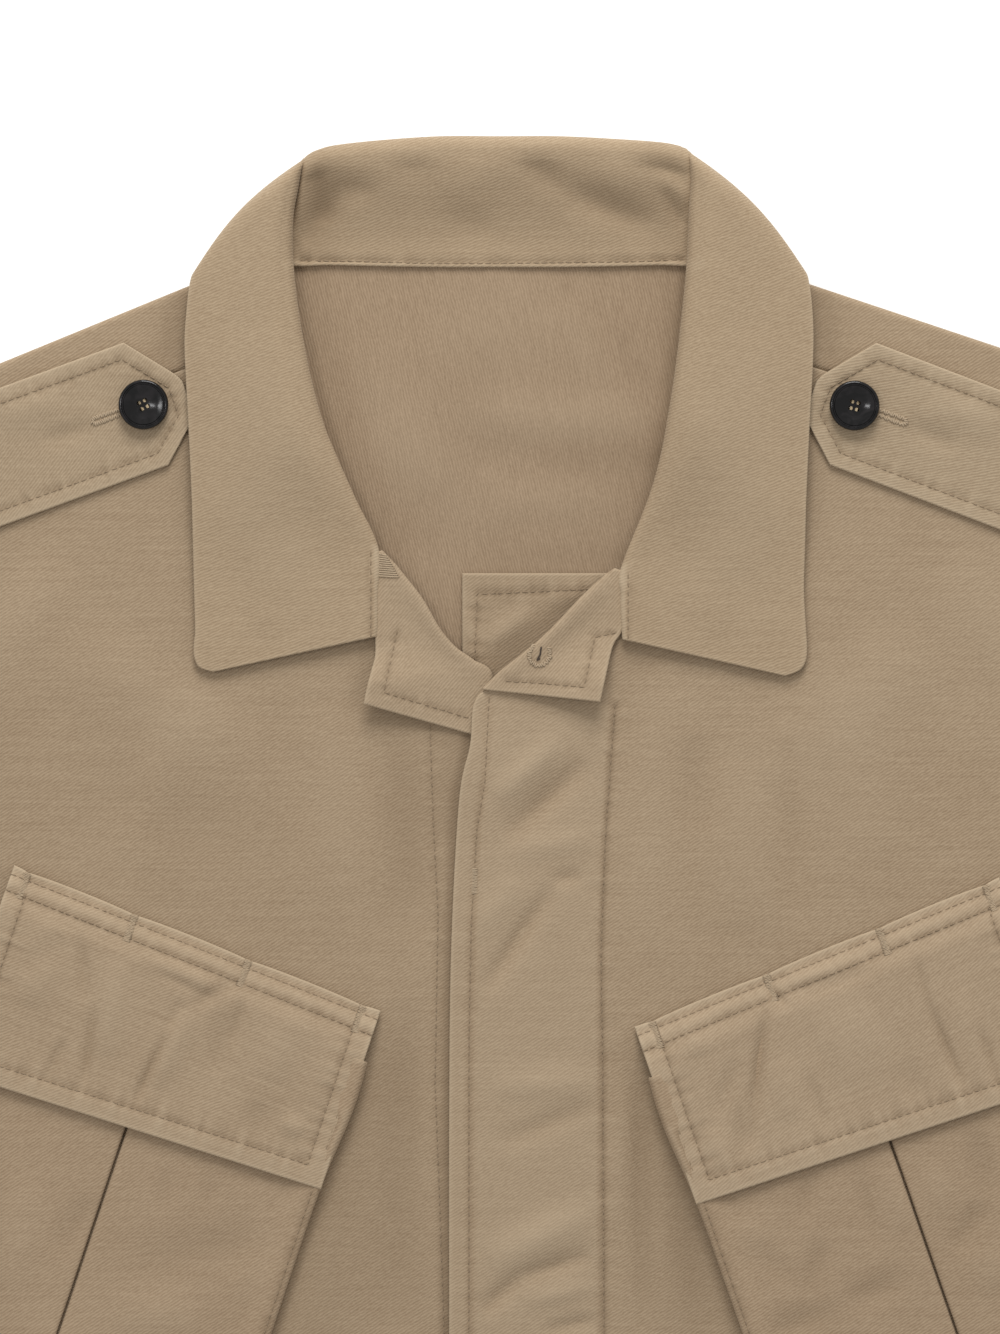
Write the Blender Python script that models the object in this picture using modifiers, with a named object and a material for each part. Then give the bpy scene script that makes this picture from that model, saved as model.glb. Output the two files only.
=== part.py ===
"""A shirt jacket laid flat on its back, built as the pieces a maker cuts and sews.

The origin is on the surface under the middle of the jacket, +X is the wearer's left,
+Y runs from hem to collar and +Z is up, away from the surface it lies on.
Plan positions in the tables are grid readings, GRID metres each, with x to the right
and y down from the top of the grid.
"""
import math
from collections import namedtuple

import bmesh
import bpy
from mathutils import Vector

# Cloth and layers
WALL = 0.0012            # cloth wall
PITCH = 0.0016           # one cloth layer to the next
SEAM = 0.0003            # between pieces that meet at a seam
BACK_LEVEL = WALL / 2    # middle of the back's wall
INSIDE_LEVEL = BACK_LEVEL + PITCH
FRONT_LEVEL = 0.0038     # middle of the fronts' wall
FALL_LIFT = PITCH        # how far the body rises over the collar's fall

# Plan grid
GRID = 0.00036
MIDDLE_X = 500.0
COLLAR_TOP_Y = 136.0
COLLAR_TOP = 0.3894
HEM_Y = 2300.0

# Body
SHOULDER_HALF = 0.235
UNDERARM_HALF = 0.280
HEM_HALF = 0.270
UNDERARM_Y = 1080.0
NECK_EDGE_Y = 257.0
SEAM_DROP = 83.0         # shoulder fold to the shoulder seam on the front
SIDE_ROLL = 0.006        # how far in the side seams begin to roll together
FOLD_RADIUS = (FRONT_LEVEL - BACK_LEVEL) / 2
FOLD_REACH = FOLD_RADIUS / GRID
BACK_ROLL = 0.0004
FRONT_ROLL = FRONT_LEVEL - BACK_LEVEL - BACK_ROLL - WALL - SEAM

# Fly
FLY_RISE = 0.0017
FLY_FLAT_X = 530.0
FLY_END_X = 640.0
FLY_TIP = (468.0, 712.0)
FLY_TIP_FLAT = 40.0
FLY_TIP_END = 140.0

# Sleeves
SLEEVE_LENGTH = 0.62
SLEEVE_DROP = math.radians(55)
CUFF_WIDTH = 0.135
SLEEVE_SECTIONS = 9

# Shoulder straps and buttons
STRAP_HALF = 0.0235
STRAP_POINT = 0.0205
BUTTON_RADIUS = 0.009
BUTTON_THICK = 0.0032
BUTTON_RIM = 0.0022
BUTTON_DISH = 0.0008
BUTTON_HOLE_RADIUS = 0.0009
BUTTON_HOLE_SPREAD = 0.0013
BUTTON_STEPS = 28
HOLE_STEPS = 8

# Chest pockets
FLAP_LENGTH = 0.142
FLAP_INNER = 0.0665
FLAP_OUTER = 0.0765
FLAP_RAMP = 0.016
POCKET_TOP = 0.018
POCKET_BOTTOM = 0.190
POCKET_INSET = 0.001
PLEAT_AT = 0.0735
PLEAT_DEPTH = 0.011
PLEAT_SLIT = 0.0004

# Fly underlay
UNDERLAY = (462.0, 609.0, 573.0, 2280.0)

CLOTH_COLOUR = (0.37, 0.28, 0.18, 1.0)
BUTTON_COLOUR = (0.014, 0.012, 0.013, 1.0)

Side = namedtuple("Side", "name sign corner_x corner_y slope")
RIGHT = Side("right", -1, 272.0, 253.0, 0.408)
LEFT = Side("left", 1, 722.0, 256.0, 0.332)

# One row for each section of the collar, from the middle of the back to the front end.
# turn 0 has the fall under the stand, 1 has it folded over onto the front; over 1 has the
# seam edge above the front's cloth.
CollarRow = namedtuple("CollarRow", "seam_x seam_y fold_x fold_y edge_x edge_y turn over")
COLLAR_RIGHT = [CollarRow(*row) for row in (
    (440, 267, 440, 138, 436, 298, 0.0, 0),
    (380, 266, 380, 142, 368, 302, 0.0, 0),
    (330, 265, 335, 147, 300, 308, 0.0, 0),
    (306, 266, 317, 152, 238, 308, 0.0, 0),
    (297, 266, 311, 155, 208, 298, 0.0, 0),
    (292, 266, 308, 157, 200, 286, 0.02, 0),
    (288, 267, 306, 159, 196, 278, 0.14, 0),
    (284, 268, 304, 161, 195, 274, 0.5, 0),
    (280, 271, 302, 165, 192, 280, 0.86, 0),
    (275, 279, 300, 172, 189, 293, 0.98, 0),
    (269, 291, 297, 188, 187, 312, 1.0, 0),
    (258, 314, 292, 218, 185, 340, 1.0, 0),
    (252, 340, 292, 262, 186, 372, 1.0, 0),
    (253, 368, 298, 315, 188, 410, 1.0, 0),
    (266, 404, 308, 370, 190, 452, 1.0, 0),
    (298, 440, 321, 420, 192, 500, 1.0, 0),
    (325, 463, 335, 456, 193, 545, 1.0, 1),
    (347, 504, 355, 501, 194, 590, 1.0, 1),
    (372, 545, 377, 549, 195, 630, 1.0, 1),
    (370, 595, 376, 595, 196, 652, 1.0, 1),
    (369, 636, 375, 637, 199, 670, 1.0, 1),
)]
COLLAR_LEFT = [CollarRow(*row) for row in (
    (560, 267, 560, 138, 564, 298, 0.0, 0),
    (620, 266, 620, 141, 632, 302, 0.0, 0),
    (660, 265, 660, 144, 700, 308, 0.0, 0),
    (684, 266, 677, 147, 762, 308, 0.0, 0),
    (694, 266, 682, 149, 792, 298, 0.0, 0),
    (700, 266, 685, 150, 800, 284, 0.02, 0),
    (705, 267, 687, 152, 803, 276, 0.14, 0),
    (709, 268, 689, 154, 804, 273, 0.5, 0),
    (713, 271, 690, 158, 807, 279, 0.86, 0),
    (718, 279, 691, 166, 810, 293, 0.98, 0),
    (724, 291, 692, 184, 812, 312, 1.0, 0),
    (734, 314, 690, 215, 813, 340, 1.0, 0),
    (736, 340, 688, 262, 812, 375, 1.0, 0),
    (730, 368, 683, 315, 810, 410, 1.0, 0),
    (714, 404, 676, 373, 808, 452, 1.0, 0),
    (683, 441, 668, 424, 806, 500, 1.0, 0),
    (667, 464, 661, 460, 805, 545, 1.0, 1),
    (655, 505, 649, 501, 804, 590, 1.0, 1),
    (626, 566, 622, 570, 804, 630, 1.0, 1),
    (629, 606, 622, 606, 804, 655, 1.0, 1),
    (630, 638, 624, 640, 800, 672, 1.0, 1),
)]

# One row for each section of a front: its edge toward the middle and its height at the side.
FrontRow = namedtuple("FrontRow", "inner_x inner_y side_y")
FRONT_RIGHT = [FrontRow(*row) for row in (
    (270, 370, 548), (281, 405, 585), (293, 438, 622), (308, 478, 660), (336, 520, 700),
    (366, 561, 740), (385, 571, 775), (405, 590, 805), (427, 624, 845), (445, 652, 885),
    (463, 667, 925), (484, 684, 965), (505, 708, 1005), (522, 748, 1045), (525, 800, 1080),
    (525, 950, 1200), (525, 1120, 1330), (525, 1340, 1500), (525, 1640, 1750),
    (525, 1960, 2020), (525, HEM_Y, HEM_Y),
)]
FRONT_LEFT = [FrontRow(*row) for row in (
    (711, 370, 530), (700, 405, 570), (689, 440, 610), (676, 478, 650), (661, 520, 695),
    (634, 574, 735), (615, 580, 770), (592, 600, 805), (572, 622, 845), (550, 647, 885),
    (527, 667, 925), (494, 690, 965), (476, 712, 1000), (470, 750, 1040), (459, 800, 1080),
    (451, 950, 1200), (449, 1120, 1330), (449, 1340, 1500), (449, 1640, 1750),
    (449, 1960, 2020), (449, HEM_Y, HEM_Y),
)]

# One row for each section of a turned-back corner: its roll edge and its free edge.
CornerRow = namedtuple("CornerRow", "roll_x roll_y free_x free_y")
CORNER_RIGHT = [CornerRow(*row) for row in (
    (388, 561, 384, 563), (407, 584, 383, 590), (429, 617, 382, 615), (447, 645, 382, 640),
    (465, 658, 376, 665), (484, 674, 369, 688), (472, 734, 365, 703),
)]
CORNER_LEFT = [CornerRow(*row) for row in (
    (612, 571, 616, 574), (592, 589, 617, 600), (570, 612, 617, 622), (549, 636, 617, 643),
    (526, 654, 611, 668), (505, 668, 605, 688), (486, 688, 600, 702),
)]

# Shoulder straps: middle of the shoulder end, and of the point's base, on the grid.
Strap = namedtuple("Strap", "arm_x arm_y base_x base_y button_x button_y")
STRAPS = {
    "right": Strap(-145.0, 510.0, 146.0, 404.0, 144.0, 405.0),
    "left": Strap(1145.0, 515.0, 853.0, 404.0, 854.0, 406.0),
}

# Chest pockets: inner top corner of the flap, tilt of its top edge and of its sides.
Pocket = namedtuple("Pocket", "corner_x corner_y tilt lean")
POCKETS = {
    "right": Pocket(380.0, 1013.0, math.radians(21.7), math.radians(18.5)),
    "left": Pocket(635.0, 1029.0, math.radians(22.3), math.radians(19.2)),
}


def mix(low, high, share):
    """The value a share of the way from low to high."""
    return low + (high - low) * share


def ease(share):
    """A soft step from 0 to 1, flat outside that range."""
    share = max(0.0, min(1.0, share))
    return share * share * (3.0 - 2.0 * share)


def plan(x, y, z=0.0):
    """A grid reading as a point in metres."""
    return Vector(((x - MIDDLE_X) * GRID, COLLAR_TOP - (y - COLLAR_TOP_Y) * GRID, z))


def lift(x, y):
    """How far the body is raised over the collar's fall, at a grid reading."""
    across = ease((x + 50.0) / 235.0) * ease((1050.0 - x) / 235.0)
    return FALL_LIFT * across * ease((560.0 - y) / 215.0)


def front_height(side, x, y):
    """Middle of a front's wall at a grid reading; the left front rises over the fly."""
    height = FRONT_LEVEL + lift(x, y)
    if side is LEFT:
        height += FLY_RISE * ease((FLY_END_X - x) / (FLY_END_X - FLY_FLAT_X))
        reach = math.dist((x, y), FLY_TIP)
        height += PITCH * ease((FLY_TIP_END - reach) / (FLY_TIP_END - FLY_TIP_FLAT))
    return height


def shoulder_y(side, x):
    """Grid height of the shoulder fold at a grid x."""
    return side.corner_y + side.slope * abs(side.corner_x - x)


def arm_x(side):
    """Grid x of the shoulder's arm end."""
    return MIDDLE_X + side.sign * SHOULDER_HALF / GRID


def half_width(side, y):
    """Half the body's width in metres at a grid height on its side."""
    top = shoulder_y(side, arm_x(side)) + FOLD_REACH
    if y < UNDERARM_Y:
        return mix(SHOULDER_HALF, UNDERARM_HALF, (y - top) / (UNDERARM_Y - top))
    return mix(UNDERARM_HALF, HEM_HALF, (y - UNDERARM_Y) / (HEM_Y - UNDERARM_Y))


def neck_share(side):
    """The neck corner's share of the way from the middle to the arm end."""
    return (side.corner_x - MIDDLE_X) / (arm_x(side) - MIDDLE_X)


def shoulder_spot(side, share, drop):
    """Grid reading on a shoulder: a share of the way out, and drop below the fold."""
    arm = arm_x(side)
    y = shoulder_y(side, mix(MIDDLE_X, arm, share)) + drop
    width = half_width(side, shoulder_y(side, arm) + drop)
    return MIDDLE_X + side.sign * share * width / GRID, y


def add_grid(mesh, columns, rows, place):
    """Add a grid whose vertex (column, row) stands at place(column, row)."""
    made = bmesh.ops.create_grid(mesh, x_segments=columns, y_segments=rows, size=0.5)
    for vert in made["verts"]:
        column = round((vert.co.x + 0.5) * columns)
        row = round((vert.co.y + 0.5) * rows)
        vert.co = place(column, row)


def material(name, colour, roughness):
    """A plain Principled material."""
    made = bpy.data.materials.new(name)
    made.use_nodes = True
    shader = made.node_tree.nodes["Principled BSDF"]
    shader.inputs["Base Color"].default_value = colour
    shader.inputs["Roughness"].default_value = roughness
    shader.inputs["Metallic"].default_value = 0.0
    return made


def add_object(name, mesh, finish, collection):
    """Make an object of a bmesh, with its own copy of a finish."""
    data = bpy.data.meshes.new(name)
    mesh.to_mesh(data)
    mesh.free()
    made = bpy.data.objects.new(name, data)
    colour, roughness = finish
    data.materials.append(material(name + "_finish", colour, roughness))
    collection.objects.link(made)
    return made


def cloth(name, mesh, collection):
    """Weld a bmesh's grids into one sheet and give it the cloth's wall."""
    bmesh.ops.remove_doubles(mesh, verts=mesh.verts, dist=0.00002)
    bmesh.ops.recalc_face_normals(mesh, faces=mesh.faces)
    made = add_object(name, mesh, (CLOTH_COLOUR, 0.9), collection)
    wall = made.modifiers.new("wall", "SOLIDIFY")
    wall.thickness = WALL
    wall.offset = 0.0
    wall.use_even_offset = False
    return made


def shares(count):
    """Even shares from 0 to 1."""
    return [step / count for step in range(count + 1)]


def edge_shares(count, width):
    """Even shares from 0 to 1 with one more just before the end, SIDE_ROLL in from it."""
    return shares(count)[:-1] + [1.0 - SIDE_ROLL / width, 1.0]


def build_back(collection):
    """The back, with its shoulders wrapped forward over the fold to the shoulder seam."""
    skirt_rows = [HEM_Y, 2020, 1750, 1500, 1330, 1200]
    chest_shares = shares(5)
    neck_shares = shares(3)
    turn_steps = 4
    wrap_steps = 3
    mesh = bmesh.new()

    for side in (RIGHT, LEFT):
        arm = arm_x(side)
        corner_share = neck_share(side)
        outer = [mix(corner_share, 1.0, share) for share in edge_shares(4, SHOULDER_HALF)[1:]]
        columns = [corner_share * share for share in neck_shares] + outer

        def row_y(end_y, row):
            if row < len(skirt_rows):
                return skirt_rows[row]
            return mix(UNDERARM_Y, end_y, chest_shares[row - len(skirt_rows)])

        def panel(column, row, side=side, columns=columns, arm=arm):
            share = columns[column]
            end_y = NECK_EDGE_Y
            if column >= len(neck_shares) - 1:
                end_y = shoulder_y(side, mix(MIDDLE_X, arm, share)) + FOLD_REACH
            y = row_y(end_y, row)
            side_y = row_y(shoulder_y(side, arm) + FOLD_REACH, row)
            x = MIDDLE_X + side.sign * share * half_width(side, side_y) / GRID
            roll = BACK_ROLL * ease((side_y - UNDERARM_Y) / 60.0) * (column == len(columns) - 1)
            return plan(x, y, BACK_LEVEL + lift(x, y) + roll)

        wrap_columns = columns[len(neck_shares) - 1:]

        def wrap(column, row, side=side, wrap_columns=wrap_columns):
            share = wrap_columns[column]
            x, fold_y = shoulder_spot(side, share, FOLD_REACH)
            level = BACK_LEVEL + lift(x, fold_y)
            if row <= turn_steps:
                angle = math.pi * row / turn_steps
                out = FOLD_REACH * math.sin(angle)
                return plan(x, fold_y - out, level + FOLD_RADIUS * (1.0 - math.cos(angle)))
            forward = (row - turn_steps) / wrap_steps
            x, y = shoulder_spot(side, share, mix(FOLD_REACH, SEAM_DROP - 1.2 * SEAM / GRID, forward))
            return plan(x, y, FRONT_LEVEL + lift(x, y))

        row_count = len(skirt_rows) + len(chest_shares)
        add_grid(mesh, len(columns) - 1, row_count - 1, panel)
        add_grid(mesh, len(wrap_columns) - 1, turn_steps + wrap_steps, wrap)
    return cloth("back", mesh, collection)


def build_front(side, table, collection):
    """One front: ruled sections from its middle edge out to the armhole and side seam."""
    neck_x, neck_y = shoulder_spot(side, neck_share(side), SEAM_DROP)
    side_y = shoulder_spot(side, 1.0, SEAM_DROP)[1]
    rows = [FrontRow(neck_x, neck_y, side_y)] + table
    columns = edge_shares(9, UNDERARM_HALF)

    def place(column, row):
        line = rows[row]
        share = columns[column]
        outer_x = MIDDLE_X + side.sign * half_width(side, line.side_y) / GRID
        x = mix(line.inner_x, outer_x, share)
        y = mix(line.inner_y, line.side_y, share)
        roll = FRONT_ROLL * ease((line.side_y - UNDERARM_Y) / 60.0) * (column == len(columns) - 1)
        return plan(x, y, front_height(side, x, y) - roll)

    mesh = bmesh.new()
    add_grid(mesh, len(columns) - 1, len(rows) - 1, place)
    return cloth("front_" + side.name, mesh, collection)


def build_sleeve(side, collection):
    """A sleeve pressed flat: rings from the armhole seam to the plain hem."""
    arm = arm_x(side)
    gap = (SEAM + WALL / 2) / GRID * side.sign
    top_start = plan(arm + gap, shoulder_y(side, arm))
    low_start = plan(MIDDLE_X + side.sign * UNDERARM_HALF / GRID + gap, UNDERARM_Y)
    along = Vector((side.sign * math.cos(SLEEVE_DROP), -math.sin(SLEEVE_DROP), 0.0))
    across = Vector((-side.sign * math.sin(SLEEVE_DROP), -math.cos(SLEEVE_DROP), 0.0))
    top_end = top_start + along * SLEEVE_LENGTH
    low_end = top_end + across * CUFF_WIDTH
    spread = [0.012, 0.2, 0.4, 0.6, 0.8, 0.988]
    middle = (FRONT_LEVEL + BACK_LEVEL) / 2
    ring = [(0.0, middle)] + [(share, FRONT_LEVEL) for share in spread]
    ring += [(1.0, middle)] + [(share, BACK_LEVEL) for share in reversed(spread)]

    def place(column, row):
        share, height = ring[column % len(ring)]
        down = row / SLEEVE_SECTIONS
        spot = mix(mix(top_start, top_end, down), mix(low_start, low_end, down), share)
        return Vector((spot.x, spot.y, height))

    mesh = bmesh.new()
    add_grid(mesh, len(ring), SLEEVE_SECTIONS, place)
    return cloth("sleeve_" + side.name, mesh, collection)


def collar_section(side, row):
    """Points of one collar section, from its seam, round the fold, to its free edge."""
    seam = plan(row.seam_x, row.seam_y)
    fold = plan(row.fold_x, row.fold_y)
    edge = plan(row.edge_x, row.edge_y)
    seam_z = INSIDE_LEVEL + lift(row.seam_x, row.seam_y)
    if row.over:
        seam_z = front_height(RIGHT, row.seam_x, row.seam_y) + PITCH
    fold_front = front_height(RIGHT, row.fold_x, row.fold_y)
    edge_front = front_height(RIGHT, row.edge_x, row.edge_y)
    stand_z = mix(BACK_LEVEL + 2 * PITCH, max(seam_z, fold_front), row.turn)
    leaf_z = mix(BACK_LEVEL, fold_front + 3.2 * PITCH, row.turn)
    edge_z = mix(BACK_LEVEL, edge_front + 2.1 * PITCH, row.turn)
    reach = abs(leaf_z - stand_z) * 0.4 + 0.0006
    stand_share = min(0.4, reach / max((seam - fold).length, 0.0001))
    leaf_share = reach / (edge - fold).length
    near_stand = fold.lerp(seam, stand_share)
    near_leaf = fold.lerp(edge, leaf_share)
    points = []
    for share in (0.0, 0.4, 0.7):
        spot = seam.lerp(near_stand, share)
        spot.z = mix(seam_z, stand_z, ease((share - 0.4) / 0.6))
        points.append(spot)
    for spot, share in ((near_stand, 0.0), (fold, 0.5), (near_leaf, 1.0)):
        spot.z = mix(stand_z, leaf_z, share)
        points.append(spot)
    for share in shares(4)[1:]:
        spot = near_leaf.lerp(edge, share)
        spot.z = mix(leaf_z, edge_z, share)
        points.append(spot)
    return points


def build_collar(collection):
    """The collar in one piece: stand, fold and fall, round from one front end to the other."""
    middle = CollarRow(MIDDLE_X, 267, MIDDLE_X, 138, MIDDLE_X, 297, 0.0, 0)
    rows = [(RIGHT, row) for row in reversed(COLLAR_RIGHT)] + [(RIGHT, middle)]
    rows += [(LEFT, row) for row in COLLAR_LEFT]
    sections = [collar_section(side, row) for side, row in rows]

    def place(column, row):
        return sections[column][row]

    mesh = bmesh.new()
    add_grid(mesh, len(sections) - 1, len(sections[0]) - 1, place)
    return cloth("collar", mesh, collection)


def build_corner(side, table, collection):
    """A front's facing where its top corner is turned back."""
    columns = 4

    def place(column, row):
        line = table[row]
        x = mix(line.roll_x, line.free_x, column / columns)
        y = mix(line.roll_y, line.free_y, column / columns)
        return plan(x, y, front_height(side, x, y) + PITCH)

    mesh = bmesh.new()
    add_grid(mesh, columns, len(table) - 1, place)
    return cloth("facing_" + side.name, mesh, collection)


def build_underlay(collection):
    """The flat strip behind the fly, seen at the open throat."""
    left_x, right_x, top_y, low_y = UNDERLAY
    columns, rows = 2, 10

    def place(column, row):
        x = mix(left_x, right_x, column / columns)
        y = mix(top_y, low_y, row / rows)
        return plan(x, y, INSIDE_LEVEL)

    mesh = bmesh.new()
    add_grid(mesh, columns, rows, place)
    return cloth("fly_underlay", mesh, collection)


def build_strap(side, collection):
    """A shoulder strap on the front's form, pointed at its neck end."""
    strap = STRAPS[side.name]
    start = Vector((strap.arm_x, strap.arm_y))
    base = Vector((strap.base_x, strap.base_y))
    along = (base - start).normalized()
    across = Vector((-along.y, along.x))
    lengths = [mix(0.0, (base - start).length, share) for share in shares(8)]
    lengths += [lengths[-1] + STRAP_POINT / GRID * share for share in (0.5, 1.0)]
    widths = [1.0] * 9 + [0.62, 0.25]
    columns = 4

    def place(column, row):
        half = STRAP_HALF / GRID * widths[row]
        spot = start + along * lengths[row] + across * mix(-half, half, column / columns)
        return plan(spot.x, spot.y, front_height(RIGHT, spot.x, spot.y) + PITCH)

    mesh = bmesh.new()
    add_grid(mesh, columns, len(lengths) - 1, place)
    return cloth("shoulder_strap_" + side.name, mesh, collection)


def build_button(side, collection, cutters):
    """A four-hole button on a shoulder strap: a dished disc turned about its middle."""
    strap = STRAPS[side.name]
    base = front_height(RIGHT, strap.button_x, strap.button_y) + PITCH + WALL / 2 + SEAM
    profile = [
        (0.0, BUTTON_THICK - BUTTON_DISH),
        (BUTTON_RADIUS - BUTTON_RIM - BUTTON_DISH, BUTTON_THICK - BUTTON_DISH),
        (BUTTON_RADIUS - BUTTON_RIM, BUTTON_THICK - BUTTON_DISH / 4),
        (BUTTON_RADIUS - BUTTON_RIM / 2, BUTTON_THICK),
        (BUTTON_RADIUS - BUTTON_DISH / 2, BUTTON_THICK - BUTTON_DISH / 4),
        (BUTTON_RADIUS, BUTTON_THICK * 0.6),
        (BUTTON_RADIUS * 0.8, 0.0),
        (0.0, 0.0),
    ]
    mesh = bmesh.new()
    verts = [mesh.verts.new((radius, 0.0, height)) for radius, height in profile]
    for first, second in zip(verts, verts[1:]):
        mesh.edges.new((first, second))
    made = add_object("button_" + side.name, mesh, (BUTTON_COLOUR, 0.3), collection)
    made.location = plan(strap.button_x, strap.button_y, base)
    turn = made.modifiers.new("turn", "SCREW")
    turn.axis = "Z"
    turn.steps = BUTTON_STEPS
    turn.render_steps = BUTTON_STEPS
    turn.use_merge_vertices = True
    turn.merge_threshold = 0.00005
    turn.use_normal_calculate = True
    drill = bmesh.new()
    for step in range(4):
        angle = math.pi / 4 + math.pi / 2 * step
        hole = bmesh.ops.create_cone(drill, cap_ends=True, segments=HOLE_STEPS,
                                     radius1=BUTTON_HOLE_RADIUS, radius2=BUTTON_HOLE_RADIUS,
                                     depth=BUTTON_THICK * 3)
        middle = Vector((math.cos(angle), math.sin(angle), 0.0)) * BUTTON_HOLE_SPREAD * math.sqrt(2)
        bmesh.ops.translate(drill, verts=hole["verts"], vec=middle)
    cutter = add_object("button_holes_" + side.name, drill, (BUTTON_COLOUR, 0.3), cutters)
    cutter.location = made.location
    cutter.hide_render = True
    cutter.display_type = "WIRE"
    cut = made.modifiers.new("holes", "BOOLEAN")
    cut.operation = "DIFFERENCE"
    cut.solver = "EXACT"
    cut.object = cutter
    return made


def pocket_spot(side, along, down):
    """Grid reading of a point on a chest pocket, in metres along its flap and down its side."""
    pocket = POCKETS[side.name]
    x = pocket.corner_x + side.sign * (along * math.cos(pocket.tilt) + down * math.sin(pocket.lean)) / GRID
    y = pocket.corner_y + (down * math.cos(pocket.lean) - along * math.sin(pocket.tilt)) / GRID
    return x, y


def build_pocket(side, collection):
    """A chest pocket: its sides folded under and one inverted pleat down its middle."""
    top_layer, return_layer, under_layer = 3 * PITCH, 2 * PITCH, PITCH
    left_fold, right_fold = PLEAT_AT - PLEAT_SLIT - WALL / 2, PLEAT_AT + PLEAT_SLIT + WALL / 2
    turn = PITCH / 2
    section = [(POCKET_INSET, under_layer), (POCKET_INSET, return_layer + turn)]
    section += [(POCKET_INSET + 0.004, top_layer), (0.035, top_layer), (left_fold - turn, top_layer)]
    section += [(left_fold, (top_layer + return_layer) / 2), (left_fold - turn, return_layer)]
    section += [(PLEAT_AT - PLEAT_DEPTH, return_layer), (PLEAT_AT - PLEAT_DEPTH - turn, under_layer + turn)]
    section += [(PLEAT_AT - PLEAT_DEPTH, under_layer), (PLEAT_AT + PLEAT_DEPTH, under_layer)]
    section += [(PLEAT_AT + PLEAT_DEPTH + turn, under_layer + turn), (PLEAT_AT + PLEAT_DEPTH, return_layer)]
    section += [(right_fold + turn, return_layer), (right_fold, (top_layer + return_layer) / 2)]
    section += [(right_fold + turn, top_layer), (FLAP_LENGTH - 0.035, top_layer)]
    section += [(FLAP_LENGTH - POCKET_INSET - 0.004, top_layer)]
    section += [(FLAP_LENGTH - POCKET_INSET, return_layer + turn), (FLAP_LENGTH - POCKET_INSET, under_layer)]
    rows = 5

    def place(column, row):
        along, layer = section[column]
        down = mix(POCKET_TOP, POCKET_BOTTOM, row / rows)
        x, y = pocket_spot(side, along, down)
        return plan(x, y, front_height(side, x, y) + layer)

    mesh = bmesh.new()
    add_grid(mesh, len(section) - 1, rows, place)
    return cloth("pocket_" + side.name, mesh, collection)


def build_flap(side, collection):
    """A pocket flap: sewn to the front along its top edge and lying over the pocket."""
    columns = 8
    downs = [0.0, 0.35, 0.7, 1.0]

    def place(column, row):
        along = FLAP_LENGTH * column / columns
        length = mix(FLAP_INNER, FLAP_OUTER, column / columns)
        lines = [FLAP_RAMP * share for share in downs]
        lines += [mix(FLAP_RAMP, length, share) for share in (0.5, 1.0)]
        x, y = pocket_spot(side, along, lines[row])
        layer = mix(PITCH, 4 * PITCH, ease(lines[row] / FLAP_RAMP))
        return plan(x, y, front_height(side, x, y) + layer)

    mesh = bmesh.new()
    add_grid(mesh, columns, len(downs) + 1, place)
    return cloth("pocket_flap_" + side.name, mesh, collection)


def main():
    """Clear the scene and build every piece."""
    for old in list(bpy.data.objects):
        bpy.data.objects.remove(old)
    jacket = bpy.data.collections.new("shirt_jacket")
    cutters = bpy.data.collections.new("cutters")
    for collection in (jacket, cutters):
        bpy.context.scene.collection.children.link(collection)
    build_back(jacket)
    build_collar(jacket)
    build_underlay(jacket)
    for side, front, corner in ((RIGHT, FRONT_RIGHT, CORNER_RIGHT), (LEFT, FRONT_LEFT, CORNER_LEFT)):
        build_front(side, front, jacket)
        build_corner(side, corner, jacket)
        build_sleeve(side, jacket)
        build_strap(side, jacket)
        build_button(side, jacket, cutters)
        build_pocket(side, jacket)
        build_flap(side, jacket)


main()
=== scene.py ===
"""Dresses the flat-laid shirt jacket: cloth, sewing, buttons, light and camera.

Plan positions are grid readings, GRID metres each, x to the right and y down, as in the
part's source. Heights are metres above the surface that the jacket lies on.
"""

import logging
import math
from dataclasses import dataclass
from enum import Enum
from typing import Sequence

import bmesh
import bpy
import numpy as np
from mathutils import Matrix, Vector
from mathutils.bvhtree import BVHTree
from mathutils.kdtree import KDTree


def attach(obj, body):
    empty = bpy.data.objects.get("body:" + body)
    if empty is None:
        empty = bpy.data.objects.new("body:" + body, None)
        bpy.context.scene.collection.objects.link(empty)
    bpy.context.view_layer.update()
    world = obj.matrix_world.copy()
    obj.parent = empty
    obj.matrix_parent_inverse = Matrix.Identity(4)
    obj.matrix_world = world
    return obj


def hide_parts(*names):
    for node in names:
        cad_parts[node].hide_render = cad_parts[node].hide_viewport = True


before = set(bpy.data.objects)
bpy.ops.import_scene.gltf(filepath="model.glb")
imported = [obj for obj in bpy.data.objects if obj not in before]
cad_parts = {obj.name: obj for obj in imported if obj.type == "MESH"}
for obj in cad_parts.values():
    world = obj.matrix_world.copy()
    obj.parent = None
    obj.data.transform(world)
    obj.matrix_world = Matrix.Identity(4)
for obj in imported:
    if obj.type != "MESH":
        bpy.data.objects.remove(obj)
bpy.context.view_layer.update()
LOG = logging.getLogger("shirt_jacket")
BODY = "root"
MM = 0.001

# Layers of the solids, repeated from the part's source
SOLID_WALL = 0.0012
PITCH = 0.0016
BACK_LEVEL = SOLID_WALL / 2
INSIDE_LEVEL = BACK_LEVEL + PITCH
FRONT_LEVEL = 0.0038
FALL_LIFT = PITCH
FOLD_RADIUS = (FRONT_LEVEL - BACK_LEVEL) / 2

# Plan grid
GRID = 0.00036
GRID_MM = GRID / MM
MIDDLE_X = 500.0
COLLAR_TOP_Y = 136.0
COLLAR_TOP = 0.3894
HEM_Y = 2300.0
VIEW_WIDTH, VIEW_HEIGHT = 1000, 1334
VIEW_MARGIN = 12.0

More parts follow.
